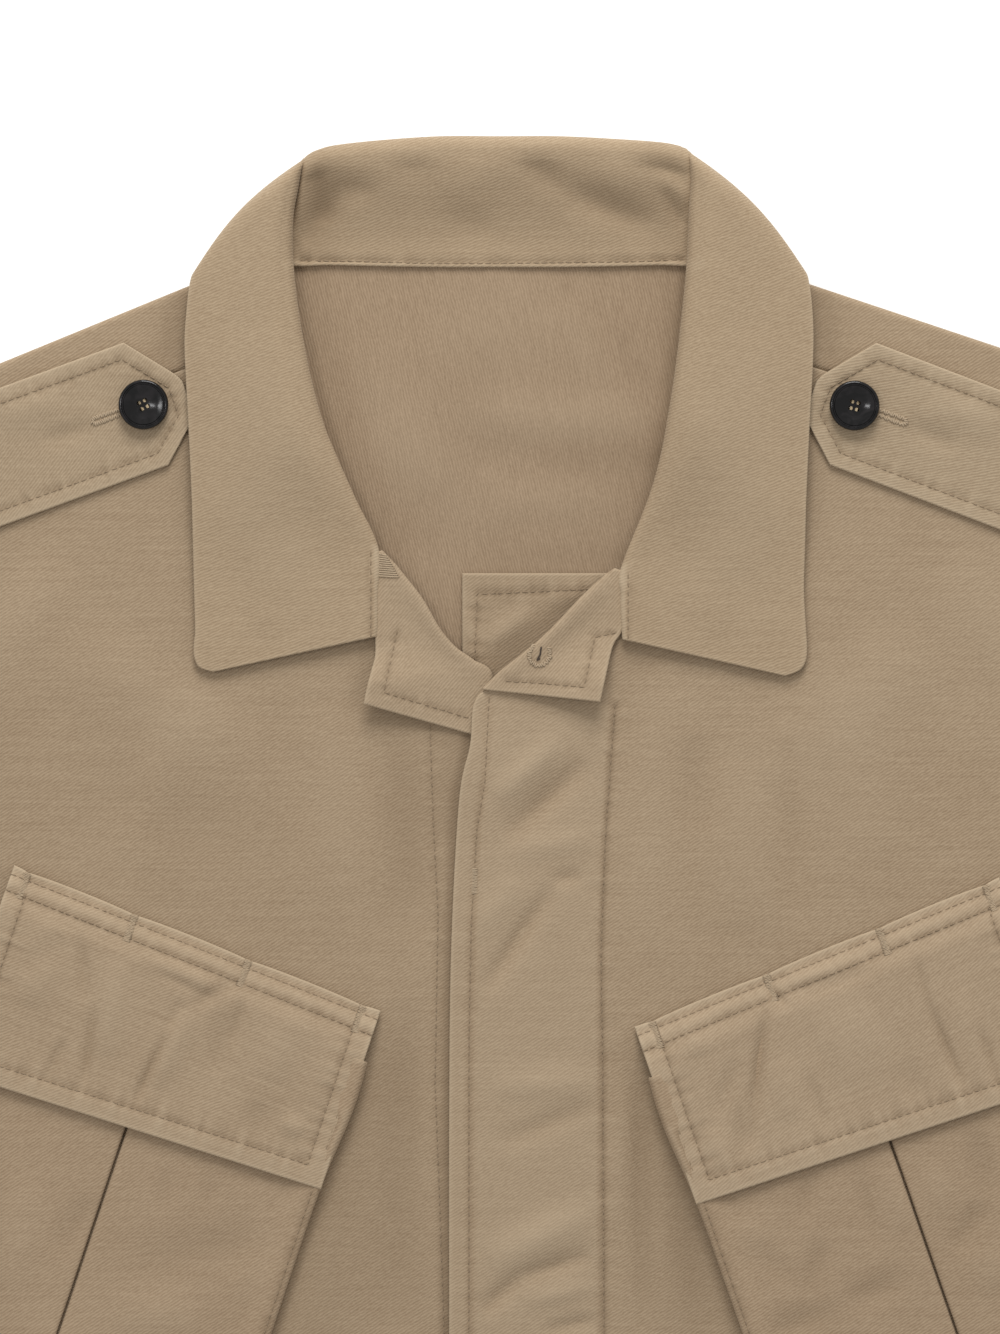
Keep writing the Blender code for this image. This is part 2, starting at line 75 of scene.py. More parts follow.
# Body
SHOULDER_HALF = 0.235
UNDERARM_HALF = 0.280
HEM_HALF = 0.270
UNDERARM_Y = 1080.0
NECK_EDGE_Y = 257.0
SEAM_DROP = 83.0
FOLD_REACH = FOLD_RADIUS / GRID

# Where the body is raised over the collar's fall: its sides, its end and its slopes
FALL_LEFT_X, FALL_RIGHT_X, FALL_END_Y = -50.0, 1050.0, 560.0
FALL_SLOPE_X, FALL_SLOPE_Y = 235.0, 215.0

# Fly
FLY_RISE = 0.0017
FLY_FLAT_X, FLY_END_X = 530.0, 640.0
FLY_TIP = (468.0, 712.0)
FLY_TIP_FLAT, FLY_TIP_END = 40.0, 140.0

# Cloth shells
WALL = 0.0010            # one laid layer with its give
DOUBLE_WALL = 0.0013     # turned and faced pieces
EDGE_STEPS = (0.0, 0.12, 0.35, 0.65, 1.0)
RIM_SHARE = 0.55         # how far in a rim rounds, as a share of the wall
RIM_MOST = 0.2           # the most of a piece's width that a rim may take
RIM_STEP_MOST = 0.9      # the most of a grid's first step that a rim may take
RIM_LEAST = 0.04         # the share of the wall that is left at the very edge
RUB_REACH = 0.0011       # how far in a rim is rubbed pale
WELD = 0.000002          # points closer than this are one point
SLIM, TINY = 1e-4, 1e-9  # the least width that is divided by, and a length of no account
DROP_FROM = 0.1          # height from which stitches are dropped onto a piece

# Creases, rubbed wear and painted shade
CREASE_END = 0.15        # a crease's depth at its ends, as a share of its depth
CREASE_SWELL = 0.7       # how fast it deepens from there
CREASE_WEAR_AND_SHADE = 100.0      # rubbed-pale share for each metre that a crease rises, painted shade for each metre that it sinks
PUCKER_WEAR_AND_SHADE = 0.8        # rubbed-pale share for each millimetre of pucker; its troughs get painted shade
PUCKER_FLOOR = -0.6      # the darkest that the painted shade in a pucker's trough gets, as a share of its crest
GROOVE_SHADE = 0.9        # painted shade in a sewn groove: how much darker it is

Array = np.ndarray
Point = tuple[float, float]
Spot = tuple[float, float, float]
Socket, Tree = bpy.types.NodeSocket, bpy.types.NodeTree
Piece, Material = bpy.types.Object, bpy.types.Material


class Side(Enum):
    """The wearer's sides, with what differs between them."""

    RIGHT = ("right", -1, 272.0, 253.0, 0.408)
    LEFT = ("left", 1, 722.0, 256.0, 0.332)

    def __init__(self, word: str, sign: int, corner_x: float, corner_y: float, slope: float) -> None:
        """Keep the side's word, its sign along X and its shoulder's corner and slope."""
        self.word, self.sign = word, sign
        self.corner_x, self.corner_y, self.slope = corner_x, corner_y, slope

    @property
    def arm_x(self) -> float:
        """Grid x of the shoulder's arm end."""
        return MIDDLE_X + self.sign * SHOULDER_HALF / GRID

    @property
    def neck_share(self) -> float:
        """The neck corner's share of the way from the middle to the arm end."""
        return (self.corner_x - MIDDLE_X) / (self.arm_x - MIDDLE_X)

    def shoulder_y(self, x: Array) -> Array:
        """Grid height of the shoulder fold at a grid x."""
        return self.corner_y + self.slope * np.abs(self.corner_x - x)

    def half_width(self, y: Array) -> Array:
        """Half the body's width in metres at a grid height on its side."""
        top = self.shoulder_y(self.arm_x) + FOLD_REACH
        arm = SHOULDER_HALF + (UNDERARM_HALF - SHOULDER_HALF) * (y - top) / (UNDERARM_Y - top)
        share = (y - UNDERARM_Y) / (HEM_Y - UNDERARM_Y)
        return np.where(y < UNDERARM_Y, arm, UNDERARM_HALF + (HEM_HALF - UNDERARM_HALF) * share)

    def shoulder_spot(self, share: Array, drop: Array) -> tuple[Array, Array]:
        """Grid reading on the shoulder: a share of the way out, and drop below the fold."""
        y = self.shoulder_y(MIDDLE_X + (self.arm_x - MIDDLE_X) * share) + drop
        width = self.half_width(self.shoulder_y(self.arm_x) + drop)
        return MIDDLE_X + self.sign * share * width / GRID, y


def mix(low: Array, high: Array, share: Array) -> Array:
    """The value a share of the way from low to high."""
    return low + (high - low) * share


def ease(share: Array) -> Array:
    """A soft step from 0 to 1, flat outside that range."""
    share = np.clip(share, 0.0, 1.0)
    return share * share * (3.0 - 2.0 * share)


def bell(gap: Array, width: float) -> Array:
    """1 where a gap is 0, falling off softly over a width."""
    return np.exp(-((gap / width) ** 2))


def plan(x: Array, y: Array, z: Array) -> Array:
    """Grid readings and heights as points in metres, stacked on the last axis."""
    x, y, z = np.broadcast_arrays(x, y, z)
    return np.stack([(x - MIDDLE_X) * GRID, COLLAR_TOP - (y - COLLAR_TOP_Y) * GRID, z], axis=-1)


def readings(points: Array) -> tuple[Array, Array]:
    """Grid readings of points in metres."""
    return points[..., 0] / GRID + MIDDLE_X, (COLLAR_TOP - points[..., 1]) / GRID + COLLAR_TOP_Y


def lift(x: Array, y: Array) -> Array:
    """How far the body is raised over the collar's fall."""
    across = ease((x - FALL_LEFT_X) / FALL_SLOPE_X) * ease((FALL_RIGHT_X - x) / FALL_SLOPE_X)
    return FALL_LIFT * across * ease((FALL_END_Y - y) / FALL_SLOPE_Y)


def front_height(side: Side, x: Array, y: Array) -> Array:
    """Middle of a front's wall; the left front rises over the fly."""
    height = FRONT_LEVEL + lift(x, y)
    if side is Side.LEFT:
        height = height + FLY_RISE * ease((FLY_END_X - x) / (FLY_END_X - FLY_FLAT_X))
        reach = np.hypot(x - FLY_TIP[0], y - FLY_TIP[1])
        height = height + PITCH * ease((FLY_TIP_END - reach) / (FLY_TIP_END - FLY_TIP_FLAT))
    return height


def smooth_rows(table: Sequence[Sequence[float]], count: int) -> Array:
    """Rows read off a smooth curve through a table's rows, evenly between them.

    Args:
        table: rows of readings.
        count: how many rows to give for each step between two rows of the table.
    Returns:
        The finer rows.
    """
    rows = np.asarray(table, dtype=float)
    padded = np.vstack([2 * rows[0] - rows[1], rows, 2 * rows[-1] - rows[-2]])
    spots = np.linspace(0.0, len(rows) - 1.0, (len(rows) - 1) * count + 1)
    step = np.minimum(spots.astype(int), len(rows) - 2)
    t = (spots - step)[:, None]
    before, first, second, after = (padded[step + shift] for shift in range(4))
    slope_in, slope_out = (second - before) / 2, (after - first) / 2
    return ((2 * t**3 - 3 * t**2 + 1) * first + (t**3 - 2 * t**2 + t) * slope_in
            + (3 * t**2 - 2 * t**3) * second + (t**3 - t**2) * slope_out)


def along(points: Array, spacing: float) -> Array:
    """Points an even distance apart along a line of readings."""
    points = np.asarray(points, dtype=float)
    steps = np.hypot(*np.diff(points, axis=0).T)
    reach = np.concatenate([[0.0], np.cumsum(steps)])
    count = max(2, int(round(reach[-1] / spacing)) + 1)
    spots = np.linspace(0.0, reach[-1], count)
    return np.stack([np.interp(spots, reach, points[:, axis]) for axis in range(2)], axis=-1)


def line_field(x: Array, y: Array, line: Sequence[Point]) -> tuple[Array, Array]:
    """Each point's distance from a line, and how far along the line its nearest point is.

    Args:
        x: grid readings.
        y: grid readings.
        line: the line's points, on the grid.
    Returns:
        Distances and lengths along, both in millimetres.
    """
    nearest = np.full(np.shape(x), np.inf)
    length = np.zeros(np.shape(x))
    passed = 0.0
    for (x0, y0), (x1, y1) in zip(line, line[1:]):
        run = math.hypot(x1 - x0, y1 - y0)
        share = np.clip(((x - x0) * (x1 - x0) + (y - y0) * (y1 - y0)) / run**2, 0.0, 1.0)
        gap = np.hypot(x - mix(x0, x1, share), y - mix(y0, y1, share))
        closer = gap < nearest
        nearest = np.where(closer, gap, nearest)
        length = np.where(closer, passed + share * run, length)
        passed += run
    return nearest * GRID_MM, length * GRID_MM


def ripple(length: Array, seed: int, waves: Sequence[float] = (4.3, 6.1, 9.7, 15.0)) -> Array:
    """An uneven ripple along a line, about -1 to 1, from a few waves in millimetres."""
    phases = np.random.default_rng(seed).uniform(0.0, 2 * math.pi, len(waves))
    total = sum(np.sin(2 * math.pi * length / wave + phase) for wave, phase in zip(waves, phases))
    return total / math.sqrt(len(waves))


# Sections of the collar, from the middle of the back to a front end: seam x and y, fold x
# and y, free edge x and y, turn, over. At turn 0 the fall is under the stand, at 1 it is folded
# onto the front; over 1 has the seam above the front's cloth.
COLLAR_MIDDLE = (500, 267, 500, 138, 500, 297, 0, 0)
COLLAR_RIGHT = (
    (440, 267, 440, 138, 436, 298, 0, 0), (380, 266, 380, 142, 368, 302, 0, 0),
    (330, 265, 335, 147, 300, 308, 0, 0), (306, 266, 317, 152, 238, 308, 0, 0),
    (297, 266, 311, 155, 208, 298, 0, 0), (292, 266, 308, 157, 200, 286, 0.02, 0),
    (288, 267, 306, 159, 196, 278, 0.14, 0), (284, 268, 304, 161, 195, 274, 0.5, 0),
    (280, 271, 302, 165, 192, 280, 0.86, 0), (275, 279, 300, 172, 189, 293, 0.98, 0),
    (269, 291, 297, 188, 187, 312, 1, 0), (258, 314, 292, 218, 185, 340, 1, 0),
    (252, 340, 292, 262, 186, 372, 1, 0), (253, 368, 298, 315, 188, 410, 1, 0),
    (266, 404, 308, 370, 190, 452, 1, 0), (298, 440, 321, 420, 192, 500, 1, 0),
    (325, 463, 335, 456, 193, 545, 1, 1), (347, 504, 355, 501, 194, 590, 1, 1),
    (372, 545, 377, 549, 195, 630, 1, 1), (370, 595, 376, 595, 194, 642, 1, 1),
    (370, 610, 376, 610, 194, 656, 1, 1), (370, 624, 376, 624, 199, 667, 1, 1),
    (369, 636, 375, 637, 213, 672, 1, 1),
)
COLLAR_LEFT = (
    (560, 267, 560, 138, 564, 298, 0, 0), (620, 266, 620, 141, 632, 302, 0, 0),
    (660, 265, 660, 144, 700, 308, 0, 0), (684, 266, 677, 147, 762, 308, 0, 0),
    (694, 266, 682, 149, 792, 298, 0, 0), (700, 266, 685, 150, 800, 284, 0.02, 0),
    (705, 267, 687, 152, 803, 276, 0.14, 0), (709, 268, 689, 154, 804, 273, 0.5, 0),
    (713, 271, 690, 158, 807, 279, 0.86, 0), (718, 279, 691, 166, 810, 293, 0.98, 0),
    (724, 291, 692, 184, 812, 312, 1, 0), (734, 314, 690, 215, 813, 340, 1, 0),
    (736, 340, 688, 262, 812, 375, 1, 0), (730, 368, 683, 315, 810, 410, 1, 0),
    (714, 404, 676, 373, 808, 452, 1, 0), (683, 441, 668, 424, 806, 500, 1, 0),
    (667, 464, 661, 460, 805, 545, 1, 1), (655, 505, 649, 501, 804, 590, 1, 1),
    (626, 566, 622, 570, 806, 628, 1, 1), (628, 594, 622, 594, 807, 647, 1, 1),
    (629, 610, 622, 610, 806, 660, 1, 1), (630, 625, 623, 626, 800, 670, 1, 1),
    (630, 638, 624, 640, 785, 676, 1, 1),
)
# How many layers' pitch a leaf stands over the front: at its fold, at the fold's low end,
# at its free edge and at its point
FOLD_LAYERS, GORGE_LAYERS, EDGE_LAYERS, POINT_LAYERS = 5.8, 2.5, 2.3, 1.4

# Sections of a front: its edge toward the middle, x and y, and its height at the side
FRONT_ROWS = {
    Side.RIGHT: (
        (270, 370, 548), (281, 405, 585), (293, 438, 622), (308, 478, 660), (336, 520, 700),
        (366, 561, 740), (385, 571, 775), (405, 590, 805), (427, 624, 845), (445, 652, 885),
        (463, 667, 925), (484, 684, 965), (505, 708, 1005), (522, 748, 1045), (525, 800, 1080),
        (525, 950, 1200), (525, 1120, 1330), (525, 1340, 1500), (525, 1640, 1750),
        (525, 1960, 2020), (525, HEM_Y, HEM_Y),
    ),
    Side.LEFT: (
        (711, 370, 530), (700, 405, 570), (689, 440, 610), (676, 478, 650), (661, 520, 695),
        (634, 574, 735), (615, 580, 770), (592, 600, 805), (572, 622, 845), (550, 647, 885),
        (525, 665, 925), (491, 686, 965), (474, 703, 1000), (470, 745, 1040), (459, 800, 1080),
        (451, 950, 1200), (449, 1120, 1330), (449, 1340, 1500), (449, 1640, 1750),
        (449, 1960, 2020), (449, HEM_Y, HEM_Y),
    ),
}
# The roll of a side seam: how far in it reaches, and where it starts under the arm
SIDE_ROLL, SIDE_ROLL_START = 0.006, 60.0
BACK_ROLL = 0.0004
FRONT_ROLL = FRONT_LEVEL - BACK_LEVEL - BACK_ROLL - SOLID_WALL - 0.0003

# Sections of a turned-back corner: its roll edge, x and y, and its free edge, x and y
CORNER_ROWS = {
    Side.RIGHT: (
        (380, 551, 375, 553), (398, 573, 374, 582), (419, 600, 374, 612), (436, 629, 375, 636),
        (452, 648, 375, 655), (470, 661, 371, 672), (489, 678, 367, 688), (473, 735, 364, 704),
    ),
    Side.LEFT: (
        (617, 569, 624, 571), (600, 584, 625, 597), (582, 601, 625, 619), (564, 620, 621, 633),
        (546, 638, 613, 646), (522, 658, 607, 670), (504, 672, 603, 688), (485, 690, 600, 702),
    ),
}
# Where a turned-back corner meets the collar
GORGE = {Side.RIGHT: ((377, 552), (377, 634)), Side.LEFT: ((620, 572), (621, 634))}

# Shoulder straps: shoulder end x and y, base of the point x and y, button x and y
STRAP_SPOTS = {
    Side.RIGHT: (-145.0, 510.0, 146.0, 404.0, 144.0, 405.0),
    Side.LEFT: (1145.0, 515.0, 853.0, 404.0, 854.0, 406.0),
}
STRAP_HALF, STRAP_POINT, STRAP_TIP, STRAP_SHIFT = 0.0235, 0.0152, 0.0073, 0.0029

# Chest pockets: inner top corner of the flap x and y, tilt of its top edge and of its sides
POCKET_SPOTS = {
    Side.RIGHT: (380.0, 1013.0, math.radians(21.7), math.radians(18.5)),
    Side.LEFT: (635.0, 1029.0, math.radians(22.3), math.radians(19.2)),
}
FLAP_LENGTH, FLAP_INNER, FLAP_OUTER, FLAP_RAMP = 0.142, 0.0665, 0.0765, 0.016
FLAP_TACKS = (0.0065, 0.051, 0.095, 0.1365)
POCKET_TOP, POCKET_BOTTOM, POCKET_INSET = 0.018, 0.190, 0.001
PLEAT_AT, PLEAT_DEPTH, PLEAT_SLIT = 0.0735, 0.011, 0.0009

# Strip behind the fly: left x, right x, top y, low y
UNDERLAY = (462.0, 609.0, 573.0, 2280.0)

# Sleeves
SLEEVE_LENGTH = 0.62
SLEEVE_DROP = math.radians(55)
CUFF_WIDTH = 0.135

# Buttons
BUTTON_RADIUS = 0.009
BUTTON_THICK = 0.0032
BUTTON_HOLE_RADIUS = 0.0008
BUTTON_HOLE_SPREAD = 0.0012
BUTTON_TURN = {Side.RIGHT: math.radians(27), Side.LEFT: math.radians(-14)}


def side_roll(side_y: Array, share: Array) -> Array:
    """How far the body rolls at its side seam, 0 to 1, at a side's height and a share of the way out."""
    below = ease((side_y - UNDERARM_Y) / SIDE_ROLL_START)
    return below * ease(1.0 - (1.0 - share) * UNDERARM_HALF / SIDE_ROLL)


def pocket_spot(side: Side, reach: Array, down: Array) -> tuple[Array, Array]:
    """Grid reading of a point on a chest pocket, in metres along its flap and down its side."""
    corner_x, corner_y, tilt, lean = POCKET_SPOTS[side]
    x = corner_x + side.sign * (reach * math.cos(tilt) + down * math.sin(lean)) / GRID
    y = corner_y + (down * math.cos(lean) - reach * math.sin(tilt)) / GRID
    return x, y


def pocket_line(side: Side, *spots: Point) -> tuple[Point, ...]:
    """A line of grid readings through points given along a flap and down it, in millimetres."""
    return tuple(pocket_spot(side, reach * MM, down * MM) for reach, down in spots)


def strap_spot(side: Side, reach: Array, off: Array) -> tuple[Array, Array]:
    """Grid reading of a point on a strap, in metres out from its point's base and off its middle."""
    arm_x, arm_y, base_x, base_y, _, _ = STRAP_SPOTS[side]
    run = math.hypot(arm_x - base_x, arm_y - base_y)
    out_x, out_y = (arm_x - base_x) / run, (arm_y - base_y) / run
    x = base_x + (reach * out_x - side.sign * off * out_y) / GRID
    y = base_y + (reach * out_y + side.sign * off * out_x) / GRID
    return x, y


def strap_line(side: Side, *spots: Point) -> tuple[Point, ...]:
    """A line of grid readings through points along a strap and off its middle, in millimetres."""
    return tuple(strap_spot(side, reach * MM, off * MM) for reach, off in spots)


@dataclass(frozen=True)
class Crease:
    """A soft trough or ridge between two grid readings.

    width is how far it reaches to each side and depth how deep it is, in millimetres; a
    depth below 0 makes a ridge.
    """

    x0: float
    y0: float
    x1: float
    y1: float
    width: float
    depth: float

    def height(self, x: Array, y: Array) -> Array:
        """The crease's height in metres at grid readings."""
        gap, length = line_field(x, y, [(self.x0, self.y0), (self.x1, self.y1)])
        run = math.hypot(self.x1 - self.x0, self.y1 - self.y0) * GRID_MM
        swell = np.sin(math.pi * np.clip(length / run, 0.0, 1.0)) ** CREASE_SWELL
        return -MM * self.depth * mix(CREASE_END, 1.0, swell) * bell(gap, self.width)

    def wear_and_painted_light(self, x: Array, y: Array) -> Array:
        """Painted tone that shows the crease: ridges rubbed a little paler, troughs a little darker with
        painted shade.
        """
        return CREASE_WEAR_AND_SHADE * self.height(x, y)


def folds(*sizes: tuple[float, ...]) -> tuple[Crease, ...]:
    """Creases from their sizes."""
    return tuple(Crease(*part) for part in sizes)


@dataclass(frozen=True)
class Seam:
    """A sewn line on a piece: the stitches' path and how the cloth takes it.

    groove and pucker are millimetres of height, reach is how far the puckers go to each side.
    """

    line: tuple[Point, ...]
    groove: float = 0.16
    pucker: float = 0.10
    reach: float = 3.0
    seed: int = 1
    groove_width: float = 1.3

    def height(self, x: Array, y: Array) -> Array:
        """The cloth's height change in metres at grid readings."""
        gap, length = line_field(x, y, self.line)
        dip = -self.groove * bell(gap, self.groove_width)
        wave = self.pucker * ripple(length, self.seed) * bell(gap, self.reach)
        return MM * (dip + wave)

    def wear_and_painted_light(self, x: Array, y: Array) -> Array:
        """Painted tone, -1 to 1: puckers rubbed pale on their crests by the wash, painted shade in their
        troughs and in the groove.
        """
        gap, length = line_field(x, y, self.line)
        wave = np.maximum(ripple(length, self.seed), PUCKER_FLOOR) * bell(gap, self.reach)
        dark = GROOVE_SHADE * self.groove * bell(gap, self.groove_width)
        return PUCKER_WEAR_AND_SHADE * self.pucker * wave - dark


@dataclass(frozen=True)
class Band:
    """Cloth turned in along an edge: it stands higher from the edge to the stitches.

    width, rise and soft, the width of its slope, are millimetres; pale is how much paler it is painted, as
    rubbed wear and painted highlight. A band with no rise and pale below 0 is a band of painted shade.
    """

    line: tuple[Point, ...]
    width: float
    rise: float
    pale: float = 0.08
    soft: float = 1.2

    def share(self, x: Array, y: Array) -> Array:
        """1 on the band, 0 off it, softly between."""
        gap = line_field(x, y, self.line)[0]
        return ease((self.width + self.soft / 2 - gap) / self.soft)

    def height(self, x: Array, y: Array) -> Array:
        """The band's height in metres at grid readings."""
        return MM * self.rise * self.share(x, y)

    def wear_and_painted_light(self, x: Array, y: Array) -> Array:
        """The band's painted tone at grid readings: paler as rubbed wear and painted highlight, darker as
        painted shade where pale is below 0.
        """
        return self.pale * self.share(x, y)


def ledges(length: float, rim: float, count: int) -> Array:
    """Shares from 0 to 1 across a piece, close together at both rims.

    Args:
        length: the piece's width in metres.
        rim: the width of the rounded rim in metres.
        count: how many even steps lie between the rims.
    Returns:
        One row of shares.
    """
    near = np.asarray(EDGE_STEPS) * min(rim / length, RIM_MOST)
    inner = np.linspace(0.0, 1.0, count + 1)[1:-1]
    return np.concatenate([near, near[-1] + inner * (1.0 - 2 * near[-1]), 1.0 - near[::-1]])[None, :]


def respace(rows: Array, lengths: Array, spacing: Array) -> Array:
    """Rows read again so that the steps between them follow a spacing.

    Args:
        rows: rows of readings.
        lengths: the length of each step between rows, in metres.
        spacing: the spacing wanted at each step, in metres.
    Returns:
        The rows at their new places.
    """
    reach = np.concatenate([[0.0], np.cumsum(lengths / spacing)])
    count = int(math.ceil(reach[-1]))
    spots = np.linspace(0.0, reach[-1], count + 1)
    return np.stack([np.interp(spots, reach, column) for column in rows.T], axis=-1)


def link(name: str, data: bpy.types.ID) -> Piece:
    """A new object in the scene round mesh, light or camera data."""
    made = bpy.data.objects.new(name, data)
    bpy.context.scene.collection.objects.link(made)
    return made


@dataclass
class Shell:
    """A closed thin wall of cloth over one or more grids of points, welded, with rounded rims.

    Attributes:
        name: the piece's name.
        grids: the wall's middle, each by row and column, in metres; the outside is up where
            the rows run down the plan and the columns to the right.
        wall: thickness in metres.
        wear_and_painted_light: tone painted at each point of each grid: rubbed wear and painted highlight
            above 0, painted shade below 0.
        rub: how much paler the rims are.
    """

    name: str
    grids: list[Array]
    wall: float
    wear_and_painted_light: list[Array]
    rub: float = 0.35

    def sheet(self) -> tuple[Array, Array, Array]:
        """The welded middle sheet: points, faces and wear."""
        points = np.concatenate([grid.reshape(-1, 3) for grid in self.grids])
        wear_and_painted_light = np.concatenate([part.reshape(-1) for part in self.wear_and_painted_light])
        faces, first = [], 0
        for grid in self.grids:
            index = first + np.arange(grid.shape[0] * grid.shape[1]).reshape(grid.shape[:2])
            faces.append(np.stack([index[:-1, :-1], index[1:, :-1], index[1:, 1:], index[:-1, 1:]],
                                  axis=-1).reshape(-1, 4))
            first += index.size
        _, kept, where = np.unique(np.round(points / WELD).astype(np.int64), axis=0,
                                   return_index=True, return_inverse=True)
        return points[kept], where.reshape(-1)[np.concatenate(faces)], wear_and_painted_light[kept]

    def rim_edges(self, faces: Array) -> Array:
        """The sheet's free edges, each in the order that its face has it."""
        sides = [np.stack([faces[:, k], faces[:, (k + 1) % 4]], axis=-1) for k in range(4)]
        edges = np.concatenate(sides)
        size = int(faces.max()) + 1
        forward = edges[:, 0] * size + edges[:, 1]
        return edges[~np.isin(forward, edges[:, 1] * size + edges[:, 0])]

    def normals(self, points: Array, faces: Array) -> Array:
        """The sheet's unit normal at each point."""
        corners = points[faces]
        flow = np.cross(corners[:, 2] - corners[:, 0], corners[:, 3] - corners[:, 1])
        total = np.zeros_like(points)
        for corner in range(4):
            np.add.at(total, faces[:, corner], flow)
        length = np.linalg.norm(total, axis=-1, keepdims=True)
        return total / np.where(length > 0.0, length, 1.0)

    def rim_gap(self, points: Array, edges: Array) -> Array:
        """Each point's distance from the nearest point of the rim, in metres."""
        rim = np.unique(edges)
        tree = KDTree(len(rim))
        for place, vert in enumerate(rim):
            tree.insert(points[vert], place)
        tree.balance()
        return np.array([tree.find(point)[2] for point in points])

    def build(self, outside: Material, inside: Material) -> Piece:
        """Make the mesh object.

        Args:
            outside: the finish of the face that the normals point to.
            inside: the finish of the other face.
        Returns:
            The new object.
        """
        points, faces, wear_and_painted_light = self.sheet()
        edges = self.rim_edges(faces)
        gap = self.rim_gap(points, edges)
        share = np.clip(gap / (self.wall * RIM_SHARE), 0.0, 1.0)
        half = self.wall / 2 * np.maximum(np.sqrt(1.0 - (1.0 - share) ** 2), RIM_LEAST)
        offset = self.normals(points, faces) * half[:, None]
        size = len(points)
        walls = np.stack([edges[:, 1], edges[:, 0], edges[:, 0] + size, edges[:, 1] + size], axis=-1)
        every = np.concatenate([faces, faces[:, ::-1] + size, walls])
        mesh = bpy.data.meshes.new(self.name)
        mesh.from_pydata(np.concatenate([points + offset, points - offset]).tolist(), [], every.tolist())
        mesh.materials.append(outside)
        mesh.materials.append(inside)
        slots = np.zeros(len(every), dtype=np.int32)
        slots[len(faces):2 * len(faces)] = 1
        mesh.polygons.foreach_set("material_index", slots)
        mesh.polygons.foreach_set("use_smooth", np.ones(len(every), dtype=bool))
        # the tone at each point: rims rubbed pale, added to the painted tone of wear, painted highlight and
        # painted shade
        rubbed_and_painted_light = wear_and_painted_light + self.rub * bell(gap, RUB_REACH)
        layer = mesh.attributes.new("wear_and_painted_light", "FLOAT", "POINT")
        layer.data.foreach_set("value", np.tile(rubbed_and_painted_light, 2).astype(np.float32))
        mesh.update()
        return link(self.name, mesh)


def ground(obj: Piece, line: Sequence[Point], raise_by: float) -> Array:
    """Points of a line of readings dropped from above onto a piece.

    Args:
        obj: the piece.
        line: readings.
        raise_by: height over the piece's face in metres.
    Returns:
        The points that found the piece, in metres.
    """
    mesh = obj.data
    tree = BVHTree.FromPolygons([v.co for v in mesh.vertices], [p.vertices for p in mesh.polygons])
    found = []
    for x, y, _ in plan(*np.asarray(line, dtype=float).T, 0.0):
        hit = tree.ray_cast(Vector((x, y, DROP_FROM)), Vector((0.0, 0.0, -1.0)))[0]
        if hit is not None:
            found.append((hit.x, hit.y, hit.z + raise_by))
    return np.asarray(found)


# Cloth pattern: how much its ribs, grains, slubs and mottle tell, and a wave's length at scale 1
WEIGHTS = (0.22, 0.38, 0.27, 0.13)
WAVE_UNIT = math.pi / 10
# colour of the painted shade, colour of rubbed wear and painted highlight, and the sheen's tint
SEAM_SHADE, RUBBED_AND_HIGHLIGHT, NAP = "#6F5B45", "#BDAA8F", "#E9DCC8"

# Each cloth finish: its paler and deeper tone, and the angles of its ribs and slubs in degrees
CLOTHS = {
    "body": ("#B09B80", "#917B62", 32.0, 0.0),
    "collar": ("#B39E82", "#968066", 22.0, 0.0),
    "inside": ("#A99278", "#8C765E", 104.0, 95.0),
    "strap_right": ("#B29E83", "#937E65", 53.0, 0.0),
    "strap_left": ("#B3A085", "#958067", 11.0, 0.0),
    "pocket_right": ("#B29D82", "#947E65", 21.5, -21.0),
    "pocket_left": ("#B5A085", "#978168", 42.5, 21.0),
    "pouch": ("#B09A7F", "#917A61", 32.0, 0.0),
    "facing": ("#B39E83", "#968168", 48.0, 0.0),
    # the strip behind the fly is painted darker than the body's cloth: painted shade of the recess between
    # the turned-back corners
    "underlay": ("#A9947A", "#8C775E", 36.0, 0.0),
}
SLUB_SIZE, INSIDE_SLUB_SIZE = (30.0, 0.8), (8.0, 1.0)
# Each thread's paler and deeper tone, and the button's
THREADS = {
    "cotton_thread": ("#A08A6E", "#7A6650"),
    "cotton_thread_buttonholes": ("#BCA88B", "#98836A"),
    "cotton_thread_buttons": ("#C9B795", "#9F8C6C"),
    # not sewing thread: the dark colour of the painted shade inside the cut keyhole slit
    "cotton_shaded_slit": ("#4A3A2C", "#2E241B"),
}
BUTTON_TONES = ("#201D1E", "#0B0A0A")


def linear(code: str, alpha: float = 1.0) -> tuple[float, float, float, float]:
    """An sRGB hex value as a linear colour."""
    parts = [int(code[start:start + 2], 16) / 255 for start in (1, 3, 5)]
    red, green, blue = (part / 12.92 if part <= 0.04045 else ((part + 0.055) / 1.055) ** 2.4
                        for part in parts)
    return red, green, blue, alpha


def fill(tree: Tree, node: bpy.types.Node, inputs: dict) -> None:
    """Set a node's inputs to values, or link them to sockets, by input name or number."""
    for name, value in inputs.items():
        if isinstance(value, bpy.types.NodeSocket):
            tree.links.new(value, node.inputs[name])
        else:
            node.inputs[name].default_value = value


def add_node(tree: Tree, kind: str, inputs: dict | None = None,
             **settings: object) -> bpy.types.Node:
    """Add a node with its settings and links.

    Args:
        tree: the tree it goes into.
        kind: Blender's name for the node.
        inputs: values, or sockets to link, by input name or number.
        settings: the node's own properties.
    Returns:
        The new node.
    """
    node = tree.nodes.new(kind)
    for name, value in settings.items():
        setattr(node, name, value)
    fill(tree, node, inputs or {})
    return node


def blank_material(name: str) -> tuple[Material, Tree, bpy.types.Node, Socket]:
    """A new material with its tree, its Principled shader and the places on the piece."""
    material = bpy.data.materials.new(name)
    material.use_nodes = True
    tree = material.node_tree
    place = add_node(tree, "ShaderNodeTexCoord").outputs["Object"]
    return material, tree, tree.nodes["Principled BSDF"], place


